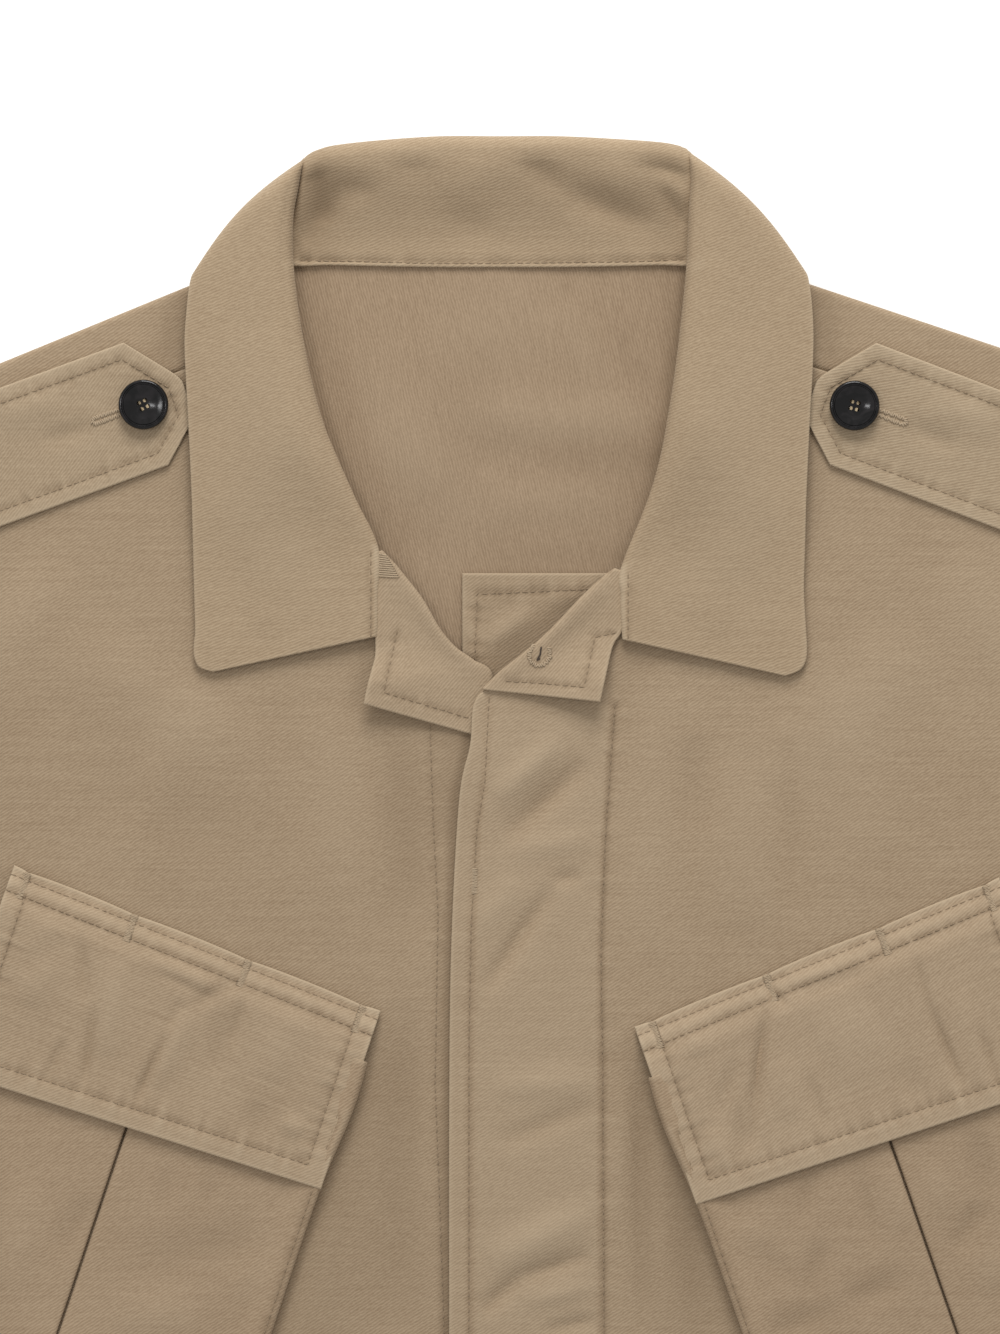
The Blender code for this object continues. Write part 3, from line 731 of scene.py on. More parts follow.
@dataclass(frozen=True)
class CottonSateen:
    """Garment-washed cotton with a fine diagonal twill rib.

    The wash leaves it matt with a short soft nap, its ribs broken into grains, faint pale slubs
    across and paler rubbed rims. The real rib is 0.7 mm; it is drawn at rib_mm so that it shows.
    """

    name: str
    pale: str
    deep: str
    angle: float
    slub_angle: float
    slub_mm: tuple[float, float]
    rib_mm: float = 1.0
    rib_waver: float = 2.4
    waver_scale: float = 1.6
    grain_mm: tuple[float, float] = (1.5, 0.8)
    grain_relief: float = 1.2
    mottle_mm: float = 34.0
    noise_roughness: float = 0.55
    bump_depth: float = 0.00008
    bump_strength: float = 0.8
    contrast: float = 0.21
    sheen: float = 0.2
    sheen_roughness: float = 0.5
    roughness: float = 0.88
    ior: float = 1.45
    specular: float = 0.25

    def turned(self, tree: Tree, place: Socket, angle: float) -> Socket:
        """Places turned so that x runs along an angle of the plan."""
        node = add_node(tree, "ShaderNodeMapping", {"Vector": place, "Rotation": (0.0, 0.0, -angle)},
                        vector_type="POINT")
        return node.outputs[0]

    def spread(self, tree: Tree, place: Socket, size: Sequence[float], angle: float,
               detail: float = 2.0) -> Socket:
        """Noise stretched to a size in millimetres along and across an angle."""
        along_mm, across_mm = size
        scale = (1.0 / (along_mm * MM), 1.0 / (across_mm * MM), 1.0 / (across_mm * MM))
        turned = self.turned(tree, place, angle)
        sized = add_node(tree, "ShaderNodeMapping", {"Vector": turned, "Scale": scale})
        noise = add_node(tree, "ShaderNodeTexNoise", {
            "Vector": sized.outputs[0], "Scale": 1.0, "Detail": detail, "Roughness": self.noise_roughness})
        return noise.outputs["Fac"]

    def ribs(self, tree: Tree, place: Socket) -> Socket:
        """The twill's ribs, wavering a little along their length."""
        wave = add_node(tree, "ShaderNodeTexWave", {
            "Vector": self.turned(tree, place, self.angle), "Scale": WAVE_UNIT / (self.rib_mm * MM),
            "Distortion": self.rib_waver, "Detail": 2.0, "Detail Scale": self.waver_scale,
        }, wave_type="BANDS", bands_direction="Y", wave_profile="SIN")
        return wave.outputs["Fac"]

    def tone(self, tree: Tree, place: Socket, rib: Socket, grain: Socket) -> Socket:
        """The pattern's tone, 0 where it is deep and 1 where it is pale."""
        slub = self.spread(tree, place, self.slub_mm, self.slub_angle)
        mottle = self.spread(tree, place, (self.mottle_mm, self.mottle_mm), 0.0, 3.0)
        total: float | Socket = 0.0
        for part, weight in zip((rib, grain, slub, mottle), WEIGHTS):
            node = add_node(tree, "ShaderNodeMath", {0: part, 1: weight, 2: total},
                            operation="MULTIPLY_ADD")
            total = node.outputs[0]
        ranged = add_node(tree, "ShaderNodeMapRange", {"Value": total, "From Min": 0.5 - self.contrast,
                                                       "From Max": 0.5 + self.contrast})
        return ranged.outputs[0]

    def colour(self, tree: Tree, tone: Socket) -> Socket:
        """The cloth's colour: paler where it is rubbed and where raised edges get a painted highlight,
        darker where painted shade lies in grooves, crease and pucker troughs and shade bands.
        """
        wear_and_painted_light = add_node(tree, "ShaderNodeAttribute", attribute_name="wear_and_painted_light").outputs["Fac"]
        paler = add_node(tree, "ShaderNodeClamp", {"Value": wear_and_painted_light})
        darker = add_node(tree, "ShaderNodeMath", {0: wear_and_painted_light, 1: -1.0}, operation="MULTIPLY", use_clamp=True)
        colour: tuple[float, ...] | Socket = linear(self.deep)
        for share, tint in ((tone, self.pale), (paler.outputs[0], RUBBED_AND_HIGHLIGHT), (darker.outputs[0], SEAM_SHADE)):
            node = add_node(tree, "ShaderNodeMix", {"Factor": share, "A": colour, "B": linear(tint)},
                            data_type="RGBA")
            colour = node.outputs["Result"]
        return colour

    def build(self) -> Material:
        """Make the material."""
        material, tree, shader, place = blank_material(self.name)
        rib = self.ribs(tree, place)
        grain = self.spread(tree, place, self.grain_mm, self.angle)
        relief = add_node(tree, "ShaderNodeMath", {0: grain, 1: self.grain_relief, 2: rib},
                          operation="MULTIPLY_ADD")
        bump = add_node(tree, "ShaderNodeBump", {"Height": relief.outputs[0], "Distance": self.bump_depth,
                                                 "Strength": self.bump_strength})
        fill(tree, shader, {
            "Base Color": self.colour(tree, self.tone(tree, place, rib, grain)), "Normal": bump.outputs[0],
            "Roughness": self.roughness, "IOR": self.ior, "Specular IOR Level": self.specular,
            "Sheen Weight": self.sheen, "Sheen Roughness": self.sheen_roughness, "Sheen Tint": linear(NAP),
        })
        return material


@dataclass(frozen=True)
class CottonThread:
    """Twisted cotton sewing thread, matt, with its ply just seen as a fine change of tone."""

    name: str
    pale: str
    deep: str
    ply_mm: float = 0.8
    roughness: float = 0.8
    sheen: float = 0.2

    def build(self) -> Material:
        """Make the material."""
        material, tree, shader, place = blank_material(self.name)
        ply = add_node(tree, "ShaderNodeTexNoise", {
            "Vector": place, "Scale": 1.0 / (self.ply_mm * MM), "Detail": 2.0})
        colour = add_node(tree, "ShaderNodeMix", {"Factor": ply.outputs["Fac"], "A": linear(self.deep),
                                                  "B": linear(self.pale)}, data_type="RGBA")
        fill(tree, shader, {"Base Color": colour.outputs["Result"], "Roughness": self.roughness,
                            "Sheen Weight": self.sheen})
        return material


@dataclass(frozen=True)
class PolishedResin:
    """Cast polyester button resin, near black, turned and tumbled to a soft polish.

    It has faint grey clouds like horn, clear broad highlights and fine turning marks.
    """

    name: str
    pale: str
    deep: str
    cloud_mm: float = 5.0
    cloud_twist: float = 1.2
    cloud_range: tuple[float, float] = (0.45, 0.75)
    mark_mm: float = 0.7
    roughness: tuple[float, float] = (0.10, 0.20)
    ior: float = 1.45
    specular: float = 0.42

    def build(self) -> Material:
        """Make the material."""
        material, tree, shader, place = blank_material(self.name)
        cloud = add_node(tree, "ShaderNodeTexNoise", {
            "Vector": place, "Scale": 1.0 / (self.cloud_mm * MM), "Detail": 4.0,
            "Distortion": self.cloud_twist})
        low, high = self.cloud_range
        share = add_node(tree, "ShaderNodeMapRange", {
            "Value": cloud.outputs["Fac"], "From Min": low, "From Max": high})
        colour = add_node(tree, "ShaderNodeMix", {"Factor": share.outputs[0], "A": linear(self.deep),
                                                  "B": linear(self.pale)}, data_type="RGBA")
        marks = add_node(tree, "ShaderNodeTexNoise", {
            "Vector": place, "Scale": 1.0 / (self.mark_mm * MM), "Detail": 2.0})
        rough = add_node(tree, "ShaderNodeMapRange", {
            "Value": marks.outputs["Fac"], "To Min": self.roughness[0], "To Max": self.roughness[1]})
        fill(tree, shader, {"Base Color": colour.outputs["Result"], "Roughness": rough.outputs[0],
                            "IOR": self.ior, "Specular IOR Level": self.specular})
        return material


class Finishes:
    """Every finish of the jacket, made once, by name."""

    def __init__(self) -> None:
        """Build the finishes."""
        self.cloth = {name: self.cotton(name) for name in CLOTHS}
        self.thread = {name: CottonThread(name, *tones).build() for name, tones in THREADS.items()}
        self.button = PolishedResin("polished_button_resin", *BUTTON_TONES).build()

    def cotton(self, name: str) -> Material:
        """One of the cloth's finishes."""
        pale, deep, rib, slub = CLOTHS[name]
        slub_size = INSIDE_SLUB_SIZE if name == "inside" else SLUB_SIZE
        return CottonSateen("cotton_sateen_" + name, pale, deep, math.radians(rib), math.radians(slub),
                            slub_size).build()


@dataclass
class Cloth:
    """What every piece of cloth has.

    Attributes:
        name: the piece's name.
        finish: the outside's finish.
        lining: the finish of the side that faces in.
        cut: width and length of the cut, and its area, in metres; not used.
        nodes: the solids that the piece stands for.
        rests_on: what it lies on; not used.
        wall: thickness of its wall in metres.
        creases: soft troughs and ridges, turned-in bands and bands of painted shade.
        seams: sewn lines.
        rub: how much paler its rims are.
        obj: the finished piece.
    """

    name: str
    finish: Material
    lining: Material
    cut: tuple[float, float, float]
    nodes: tuple[str, ...]
    rests_on: tuple[str, ...]
    wall: float = WALL
    creases: tuple[Crease, ...] = ()
    seams: tuple[Seam, ...] = ()
    rub: float = 0.35
    obj: Piece | None = None

    def relief(self, x: Array, y: Array) -> Array:
        """Height of the creases and sewn lines at grid readings."""
        total = np.zeros(np.shape(x))
        for part in (*self.creases, *self.seams):
            total = total + part.height(x, y)
        return total

    def rubbed_and_painted_light(self, x: Array, y: Array) -> Array:
        """Painted tone of the creases, bands and sewn lines at grid readings: rubbed wear and painted
        highlight above 0, painted shade below 0.
        """
        total = np.zeros(np.shape(x))
        for part in (*self.creases, *self.seams):
            total = total + part.wear_and_painted_light(x, y)
        return np.clip(total, -1.0, 1.0)

    def grids(self) -> list[Array]:
        """The piece's middle surface before its creases, as grids of points."""
        raise NotImplementedError

    def build(self) -> Piece:
        """Make the piece, attach it to the body and hide the solids that it stands for."""
        grids, wear_and_painted_light = [], []
        for grid in self.grids():
            x, y = readings(grid)
            grids.append(grid + self.relief(x, y)[..., None] * np.array([0.0, 0.0, 1.0]))
            wear_and_painted_light.append(self.rubbed_and_painted_light(x, y))
        shell = Shell(self.name, grids, self.wall, wear_and_painted_light, self.rub)
        self.obj = shell.build(self.finish, self.lining)
        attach(self.obj, BODY)
        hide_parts(*self.nodes)
        return self.obj


@dataclass
class Back(Cloth):
    """The back, inside face up, with its shoulders wrapped forward to the shoulder seam."""

    neck_columns: int = 42
    shoulder_columns: int = 30
    skirt_rows: int = 30
    hidden_rows: int = 14
    seen_rows: int = 90
    seen_from: float = 0.42
    turn_steps: int = 10
    wrap_steps: int = 16
    seam_gap: float = 0.3

    def side_panel(self, side: Side) -> Array:
        """Half of the panel, from the neck or shoulder fold down to the hem."""
        neck = np.linspace(0.0, side.neck_share, self.neck_columns)
        share = np.concatenate([neck, self.shoulder_shares(side)[1:]])
        fold = side.shoulder_y(MIDDLE_X + (side.arm_x - MIDDLE_X) * share) + FOLD_REACH
        top = np.where(share < side.neck_share - TINY, NECK_EDGE_Y, fold)
        chest = np.concatenate([np.linspace(1.0, self.seen_from, self.seen_rows),
                                np.linspace(self.seen_from, 0.0, self.hidden_rows)[1:]])
        skirt = np.linspace(UNDERARM_Y, HEM_Y, self.skirt_rows)[1:]
        arm_top = side.shoulder_y(side.arm_x) + FOLD_REACH
        y = np.concatenate([mix(UNDERARM_Y, top[None, :], chest[:, None]),
                            np.broadcast_to(skirt[:, None], (len(skirt), len(share)))])
        side_y = np.concatenate([mix(UNDERARM_Y, arm_top, chest), skirt])[:, None]
        x = MIDDLE_X + side.sign * share[None, :] * side.half_width(side_y) / GRID
        grid = plan(x, y, BACK_LEVEL + lift(x, y) + BACK_ROLL * side_roll(side_y, share))
        return grid[:, ::side.sign]

    def shoulder_shares(self, side: Side) -> Array:
        """Shares of the way out along a shoulder, from its neck corner to its arm end."""
        return np.linspace(side.neck_share, 1.0, self.shoulder_columns)

    def wrap(self, side: Side) -> Array:
        """A shoulder from its seam on the front, round the fold, to the panel's top."""
        share = self.shoulder_shares(side)[None, :]
        x, fold_y = side.shoulder_spot(share, FOLD_REACH)
        level = BACK_LEVEL + lift(x, fold_y)
        forward = np.linspace(1.0, 0.0, self.wrap_steps)[:-1, None]
        flat_x, flat_y = side.shoulder_spot(share, mix(FOLD_REACH, SEAM_DROP - self.seam_gap, forward))
        flat = plan(flat_x, flat_y, FRONT_LEVEL + lift(flat_x, flat_y))
        angle = np.linspace(math.pi, 0.0, self.turn_steps)[:, None]
        turned = plan(x, fold_y - FOLD_REACH * np.sin(angle), level + FOLD_RADIUS * (1 - np.cos(angle)))
        return np.concatenate([flat, turned])[:, ::side.sign]

    def grids(self) -> list[Array]:
        """The two halves of the panel and the two shoulders."""
        return [part(side) for side in Side for part in (self.side_panel, self.wrap)]


@dataclass(frozen=True)
class CollarLines:
    """The collar's seam, fold and free edge, a row for each section, in grid readings and metres.

    stand_z and leaf_z are the fold's heights on its two sides. turn is 1 where the leaf is folded
    onto the front, settle is 1 where the fold has sunk to its low end, low is 1 at a leaf's point,
    and bow is how far the leaf's sections swell.
    """

    seam_x: Array
    seam_y: Array
    seam_z: Array
    fold_x: Array
    fold_y: Array
    stand_z: Array
    leaf_z: Array
    edge_x: Array
    edge_y: Array
    edge_z: Array
    turn: Array
    settle: Array
    low: Array
    bow: Array
    roundness: float = 0.4
    least_reach: float = 0.0006
    most_share: float = 0.4

    @property
    def reach(self) -> Array:
        """How far the rolled fold reaches, in metres."""
        return np.abs(self.leaf_z - self.stand_z) * self.roundness + self.least_reach

    @property
    def stand_share(self) -> Array:
        """The share of the stand that the rolled fold takes."""
        width = np.hypot(self.seam_x - self.fold_x, self.seam_y - self.fold_y) * GRID
        return np.minimum(self.most_share, self.reach / np.maximum(width, SLIM))

    @property
    def leaf_run(self) -> Array:
        """The leaf's width in grid readings."""
        return np.hypot(self.edge_x - self.fold_x, self.edge_y - self.fold_y)

    @property
    def leaf_share(self) -> Array:
        """The share of the leaf that the rolled fold takes."""
        return self.reach / (self.leaf_run * GRID)


@dataclass
class Collar(Cloth):
    """The collar in one piece: stand, rolled fold and fall.

    Sizes are metres, or grid readings where a field says where a change starts and how far it runs.
    """

    sections: int = 6
    stand_steps: int = 30
    fold_steps: int = 12
    leaf_steps: int = 56
    stand_width: float = 0.04
    leaf_width: float = 0.09
    crown: float = 0.0022
    roll_reach: float = 0.010
    edge_lift: float = 0.0007
    gorge_lift: float = 0.0016
    gorge_from: float = 540.0
    gorge_run: float = 110.0
    gorge_fade: float = 3.0
    stand_rise: float = 0.0112
    stand_crown: float = -0.0005
    stand_bend: float = 0.6
    bend_from: float = 0.15
    dent_fade: float = 7.0
    crease_fade: float = 8.0
    fall_level: float = BACK_LEVEL + 0.0002
    bow: float = 10.0
    bow_at: tuple[float, float] = (15.0, 31.0)
    bow_reach: float = 2.2
    settle_from: float = 400.0
    settle_run: float = 160.0
    point_from: Point = (150.0, 500.0)
    point_run: Point = (110.0, 100.0)

    def relief(self, x: Array, y: Array) -> Array:
        """None here: the creases are on the stand and on the leaves, not on what lies under them."""
        return np.zeros(np.shape(x))

    def lines(self) -> CollarLines:
        """The collar's lines, read off its sections."""
        table = [*reversed(COLLAR_RIGHT), COLLAR_MIDDLE, *COLLAR_LEFT]
        rows = smooth_rows(table, self.sections)
        seam_x, seam_y, fold_x, fold_y, edge_x, edge_y, turn, over = rows.T[:, :, None]
        turn, over = np.clip(turn, 0.0, 1.0), np.clip(over, 0.0, 1.0)
        spots = np.linspace(0.0, len(table) - 1.0, len(rows))[:, None]
        pairs = (seam_x, seam_y), (fold_x, fold_y), (edge_x, edge_y)
        seam_front, fold_front, edge_front = (front_height(Side.RIGHT, x, y) for x, y in pairs)
        seam_z = mix(INSIDE_LEVEL + lift(seam_x, seam_y), seam_front + PITCH, over)
        settle = ease((fold_y - self.settle_from) / self.settle_run)
        low = (ease((edge_y - self.point_from[1]) / self.point_run[1])
               * ease((np.abs(edge_x - MIDDLE_X) - self.point_from[0]) / self.point_run[0]))
        leaf_top = fold_front + mix(FOLD_LAYERS, GORGE_LAYERS, settle) * PITCH
        edge_top = edge_front + mix(EDGE_LAYERS, POINT_LAYERS, low) * PITCH + self.edge_lift
        return CollarLines(
            seam_x, seam_y, seam_z, fold_x, fold_y,
            stand_z=mix(self.stand_rise, np.maximum(seam_z, fold_front), turn),
            leaf_z=mix(self.fall_level, leaf_top, turn), edge_x=edge_x, edge_y=edge_y,
            edge_z=mix(self.fall_level, edge_top, turn), turn=turn, settle=settle, low=low,
            bow=self.bow * sum(bell(spots - at, self.bow_reach) for at in self.bow_at))

    def stand(self, lines: CollarLines) -> Array:
        """Points from the seam up the stand to the fold."""
        share = ledges(self.stand_width, self.wall, self.stand_steps)[:, :-len(EDGE_STEPS)]
        place = mix(1.0, lines.stand_share, share)
        x, y = mix(lines.fold_x, lines.seam_x, place), mix(lines.fold_y, lines.seam_y, place)
        dents = super().relief(x, y) * ease((1.0 - share) * self.dent_fade)
        crown = self.stand_crown * np.sin(math.pi * share) ** 2
        bent = ease((share - self.bend_from) / (1.0 - self.bend_from))
        height = mix(lines.seam_z, lines.stand_z, mix(share, bent, self.stand_bend))
        return plan(x, y, height + (1.0 - lines.turn) * (crown + dents))

    def roll(self, lines: CollarLines) -> Array:
        """Points round the fold, from the stand to the leaf."""
        angle = np.linspace(0.0, math.pi, self.fold_steps)[None, :]
        inner = angle < math.pi / 2
        out = np.where(inner, lines.stand_share, lines.leaf_share) * (1.0 - np.sin(angle))
        x = mix(lines.fold_x, np.where(inner, lines.seam_x, lines.edge_x), out)
        y = mix(lines.fold_y, np.where(inner, lines.seam_y, lines.edge_y), out)
        return plan(x, y, mix(lines.stand_z, lines.leaf_z, (1.0 - np.cos(angle)) / 2))

    def leaf(self, lines: CollarLines) -> Array:
        """Points from the fold out over the leaf to its free edge."""
        share = ledges(self.leaf_width, self.wall, self.leaf_steps)[:, len(EDGE_STEPS):]
        run_x, run_y, run = lines.edge_x - lines.fold_x, lines.edge_y - lines.fold_y, lines.leaf_run
        place = mix(lines.leaf_share, 1.0, share)
        swell = lines.bow * np.sign(run_x) / run * np.sin(math.pi * share)
        x = lines.fold_x + run_x * place + run_y * swell
        y = lines.fold_y + run_y * place - run_x * swell
        out = share * run * GRID / self.roll_reach
        crown = self.crown * out * np.exp(1.0 - out) * (1.0 - lines.settle)
        gorge = ease((y - self.gorge_from) / self.gorge_run) * ease(share * self.gorge_fade)
        droop = self.gorge_lift * gorge * (1.0 - lines.low)
        creased = super().relief(x, y) * ease(share * self.crease_fade)
        raised = lines.turn * (crown + droop + creased)
        return plan(x, y, mix(lines.leaf_z, lines.edge_z, share) + raised)

    def grids(self) -> list[Array]:
        """Sections from one front end round to the other, each from free edge to seam."""
        lines = self.lines()
        grid = np.concatenate([self.stand(lines), self.roll(lines), self.leaf(lines)], axis=1)[:, ::-1]
        return [rim_columns(np.swapaxes(grid, 0, 1), self.wall)]


def near_rim(edge: Array, inner: Array, rim: float) -> list[Array]:
    """Lines of points from just inside an edge to a rim's width in, toward the next line."""
    step = np.linalg.norm(inner - edge, axis=-1).mean()
    most = min(rim * RIM_SHARE / max(step, TINY), RIM_STEP_MOST)
    return [edge + (inner - edge) * share * most for share in EDGE_STEPS[1:]]


def rim_columns(grid: Array, rim: float) -> Array:
    """Add columns close to the first and last of a grid of points, for a rounded rim."""
    flat = np.swapaxes(grid, 0, 1)
    head, tail = near_rim(flat[0], flat[1], rim), near_rim(flat[-1], flat[-2], rim)
    return np.swapaxes(np.concatenate([flat[:1], head, flat[1:-1], tail[::-1], flat[-1:]]), 0, 1)


def rim_rows(grid: Array, rim: float) -> Array:
    """Add rows close to the first and last of a grid of points, for a rounded rim."""
    return np.swapaxes(rim_columns(np.swapaxes(grid, 0, 1), rim), 0, 1)


def rim_all(grid: Array, rim: float) -> Array:
    """Add rows and columns close to all four rims of a grid of points."""
    return rim_rows(rim_columns(grid, rim), rim)


def stations(*runs: tuple[float, float]) -> Array:
    """Shares from 0 to 1 along runs of given length and spacing, in metres."""
    spots = [np.zeros(1)]
    for length, spacing in runs:
        steps = max(1, round(length / spacing))
        spots.append(spots[-1][-1] + length * np.arange(1, steps + 1) / steps)
    every = np.concatenate(spots)
    return every / every[-1]


def bed(side: Side, x: Array, y: Array) -> Array:
    """Middle of a front's wall with its creases; what lies on the front follows it."""
    height = front_height(side, x, y)
    for crease in FRONT_CREASES[side]:
        height = height + crease.height(x, y)
    return height


@dataclass
class Front(Cloth):
    """One front, from the shoulder seam to the hem and from the fly edge to the side seam."""

    side: Side = Side.RIGHT
    seen_step: float = 0.0017
    hidden_step: float = 0.009
    rows_each: int = 12
    runs: tuple[Point, ...] = ((0.072, 0.0011), (0.135, 0.0029), (0.073, 0.0073))

    def grids(self) -> list[Array]:
        """Rows of points from the middle edge out to the armhole and side seam."""
        side = self.side
        neck_x, neck_y = side.shoulder_spot(side.neck_share, SEAM_DROP)
        side_y = side.shoulder_spot(1.0, SEAM_DROP)[1]
        rows = smooth_rows([(neck_x, neck_y, side_y), *FRONT_ROWS[side]], self.rows_each)
        step = np.abs(np.diff(rows, axis=0))
        length = GRID * (np.hypot(step[:, 0], step[:, 1]) + step[:, 2]) / 2
        spacing = np.where(rows[1:, 1] < VIEW_HEIGHT + VIEW_MARGIN, self.seen_step, self.hidden_step)
        rows = respace(rows, length, spacing)
        inner_x, inner_y, side_y = rows.T[:, :, None]
        share = stations(*self.runs)[None, :]
        outer_x = MIDDLE_X + side.sign * side.half_width(side_y) / GRID
        x, y = mix(inner_x, outer_x, share), mix(inner_y, side_y, share)
        grid = plan(x, y, bed(side, x, y) - FRONT_ROLL * side_roll(side_y, share))
        return [rim_all(grid[:, ::side.sign], self.wall)]

    def rubbed_and_painted_light(self, x: Array, y: Array) -> Array:
        """Painted tone, as rubbed wear, painted highlight and painted shade, with the creases that all the
        front's layers share.
        """
        return super().rubbed_and_painted_light(x, y) + sum(crease.wear_and_painted_light(x, y) for crease in FRONT_CREASES[self.side])


@dataclass
class Facing(Cloth):
    """The facing of a front where its top corner is turned back, rolled at the fold.

    Its free edge springs up, and it rises to the collar where the two are sewn together.
    """

    side: Side = Side.RIGHT
    row_steps: int = 12
    columns: int = 42
    roll_steps: int = 8
    roll_turn: float = 0.85 * math.pi
    narrow: float = 20.0
    width: float = 0.03
    spring: float = 0.0060
    spring_from: float = 0.45
    spring_run: float = 0.4
    join_rise: float = 0.0008
    join_reach: float = 9.0

    def grids(self) -> list[Array]:
        """Rows of points from under the roll, over it and out to the free edge."""
        side = self.side
        roll_x, roll_y, free_x, free_y = smooth_rows(CORNER_ROWS[side], self.row_steps).T[:, :, None]
        run = np.maximum(np.hypot(free_x - roll_x, free_y - roll_y), 1.0)
        out_x, out_y = (roll_x - free_x) / run, (roll_y - free_y) / run
        angle = np.linspace(self.roll_turn, 0.0, self.roll_steps)[None, :]
        reach = PITCH / 2 / GRID * np.sin(angle) * np.minimum(run / self.narrow, 1.0)
        join = self.join(roll_x, roll_y)
        rolled = plan(roll_x + out_x * reach, roll_y + out_y * reach,
                      bed(side, roll_x, roll_y) + (PITCH + join) / 2 * (1.0 + np.cos(angle)))
        share = ledges(self.width, self.wall, self.columns)[:, len(EDGE_STEPS):]
        x, y = mix(roll_x, free_x, share), mix(roll_y, free_y, share)
        down = np.linspace(0.0, 1.0, len(roll_x))[:, None]
        spring = self.spring * share**2 * ease((down - self.spring_from) / self.spring_run)
        flat = plan(x, y, bed(side, x, y) + PITCH + spring + self.join(x, y))
        grid = np.concatenate([rolled, flat], axis=1)[:, ::side.sign]
        return [rim_rows(grid, self.wall)]

    def join(self, x: Array, y: Array) -> Array:
        """Rise toward the seam with the collar, in metres, at grid readings."""
        gap = line_field(x, y, GORGE[self.side])[0]
        return self.join_rise * ease((self.join_reach - gap) / self.join_reach)


@dataclass
class Underlay(Cloth):
    """The flat strip behind the fly, seen at the open throat."""

    columns: int = 50
    runs: tuple[Point, ...] = ((0.060, 0.0012), (0.55, 0.011))

    def grids(self) -> list[Array]:
        """Rows of points from the top edge down."""
        left_x, right_x, top_y, low_y = UNDERLAY
        y = top_y + (low_y - top_y) * stations(*self.runs)[:, None]
        x = mix(left_x, right_x, np.linspace(0.0, 1.0, self.columns))[None, :]
        return [rim_all(plan(x, y, INSIDE_LEVEL), self.wall)]


@dataclass
class Sleeve(Cloth):
    """A sleeve pressed flat, from the armhole seam to its plain hem."""

    side: Side = Side.RIGHT
    rows: int = 84
    flat_steps: int = 44
    turn_steps: int = 7
    seam_gap: float = 0.0004
    fade_from: float = 0.004
    fade_run: float = 0.04

    def edges(self, down: Array) -> tuple[Array, Array]:
        """Points on the sleeve's upper and lower edge, a share of the way down, in plan metres."""
        side = self.side
        gap = self.seam_gap / GRID * side.sign
        top = plan(np.asarray(side.arm_x + gap), np.asarray(side.shoulder_y(side.arm_x)), 0.0)
        low_x = MIDDLE_X + side.sign * UNDERARM_HALF / GRID + gap
        low = plan(np.asarray(low_x), np.asarray(UNDERARM_Y), 0.0)
        run = np.array([side.sign * math.cos(SLEEVE_DROP), -math.sin(SLEEVE_DROP), 0.0])
        across = np.array([-side.sign * math.sin(SLEEVE_DROP), -math.cos(SLEEVE_DROP), 0.0])
        top_end = top + run * SLEEVE_LENGTH
        low_end = top_end + across * CUFF_WIDTH
        return mix(top, top_end, down[:, None]), mix(low, low_end, down[:, None])

    def __post_init__(self) -> None:
        """Place the creases, given as shares down and across the sleeve."""
        self.creases = tuple(Crease(*self.spot(*sizes[:2]), *self.spot(*sizes[2:4]), *sizes[4:])
                             for sizes in SLEEVE_CREASES)

    def spot(self, down: float, across: float) -> Point:
        """Grid reading of a place given as shares down and across the sleeve."""
        top, low = self.edges(np.asarray([down]))
        x, y = readings(mix(top, low, across))
        return float(x[0]), float(y[0])

    def grids(self) -> list[Array]:
        """Rings of points from the armhole to the hem."""
        down = np.linspace(0.0, 1.0, self.rows)
        top, low = self.edges(down)
        reach = FOLD_RADIUS / np.linalg.norm(low - top, axis=-1)[:, None]
        flat = np.linspace(0.0, 1.0, self.flat_steps)[None, :]
        angle = np.linspace(0.0, math.pi, self.turn_steps)[None, 1:-1]
        middle = (FRONT_LEVEL + BACK_LEVEL) / 2
        upper = mix(reach, 1 - reach, flat)
        inset = reach * (1 - np.sin(angle))
        rise = FOLD_RADIUS * np.cos(angle) + 0 * reach
        shares = [upper, 1 - inset, upper[:, ::-1], inset, upper[:, :1]]
        heights = [np.full_like(upper, FRONT_LEVEL), middle + rise, np.full_like(upper, BACK_LEVEL),
                   middle - rise, np.full_like(upper[:, :1], FRONT_LEVEL)]
        share, height = np.concatenate(shares, axis=1), np.concatenate(heights, axis=1)
        grid = top[:, None, :] + (low - top)[:, None, :] * share[..., None]
        grid[..., 2] = height
        return [rim_rows(grid, self.wall)[:, ::-self.side.sign]]

    def relief(self, x: Array, y: Array) -> Array:
        """Ridges that fade out at the armhole."""
        start = MIDDLE_X + self.side.sign * UNDERARM_HALF / GRID
        away = ease((self.side.sign * (x - start) * GRID - self.fade_from) / self.fade_run)
        return super().relief(x, y) * away


@dataclass
class Strap(Cloth):
    """A shoulder strap, pointed at its neck end, lying on the front and the shoulder."""

    side: Side = Side.RIGHT
    columns: int = 46
    corner: float = 0.0026
    fine_step: float = 0.0010
    fine_run: float = 0.058
    coarse_step: float = 0.003

    def grids(self) -> list[Array]:
        """Rows of points from the point out to the arm end."""
        arm_x, arm_y, base_x, base_y, _, _ = STRAP_SPOTS[self.side]
        run = math.hypot(arm_x - base_x, arm_y - base_y) * GRID
        point = stations((STRAP_POINT, self.fine_step))[:, None]
        runs = (self.fine_run, self.fine_step), (run - self.fine_run, self.coarse_step)
        body = stations(*runs)[1:, None]
        reach = np.concatenate([-STRAP_POINT * (1 - point), run * body])
        share = np.clip(1 + reach / STRAP_POINT, 0.0, 1.0)
        half = mix(STRAP_TIP, STRAP_HALF, share)
        tip = np.clip(1.0 - (reach + STRAP_POINT) / self.corner, 0.0, 1.0)
        half = half - self.corner / 2 * (1.0 - np.sqrt(1.0 - tip**2))
        across = np.linspace(-1.0, 1.0, self.columns)[None, :]
        x, y = strap_spot(self.side, reach, half * across + STRAP_SHIFT * (1.0 - share))
        grid = plan(x, y, bed(self.side, x, y) + PITCH)
        return [rim_all(grid[:, ::-self.side.sign], self.wall)]


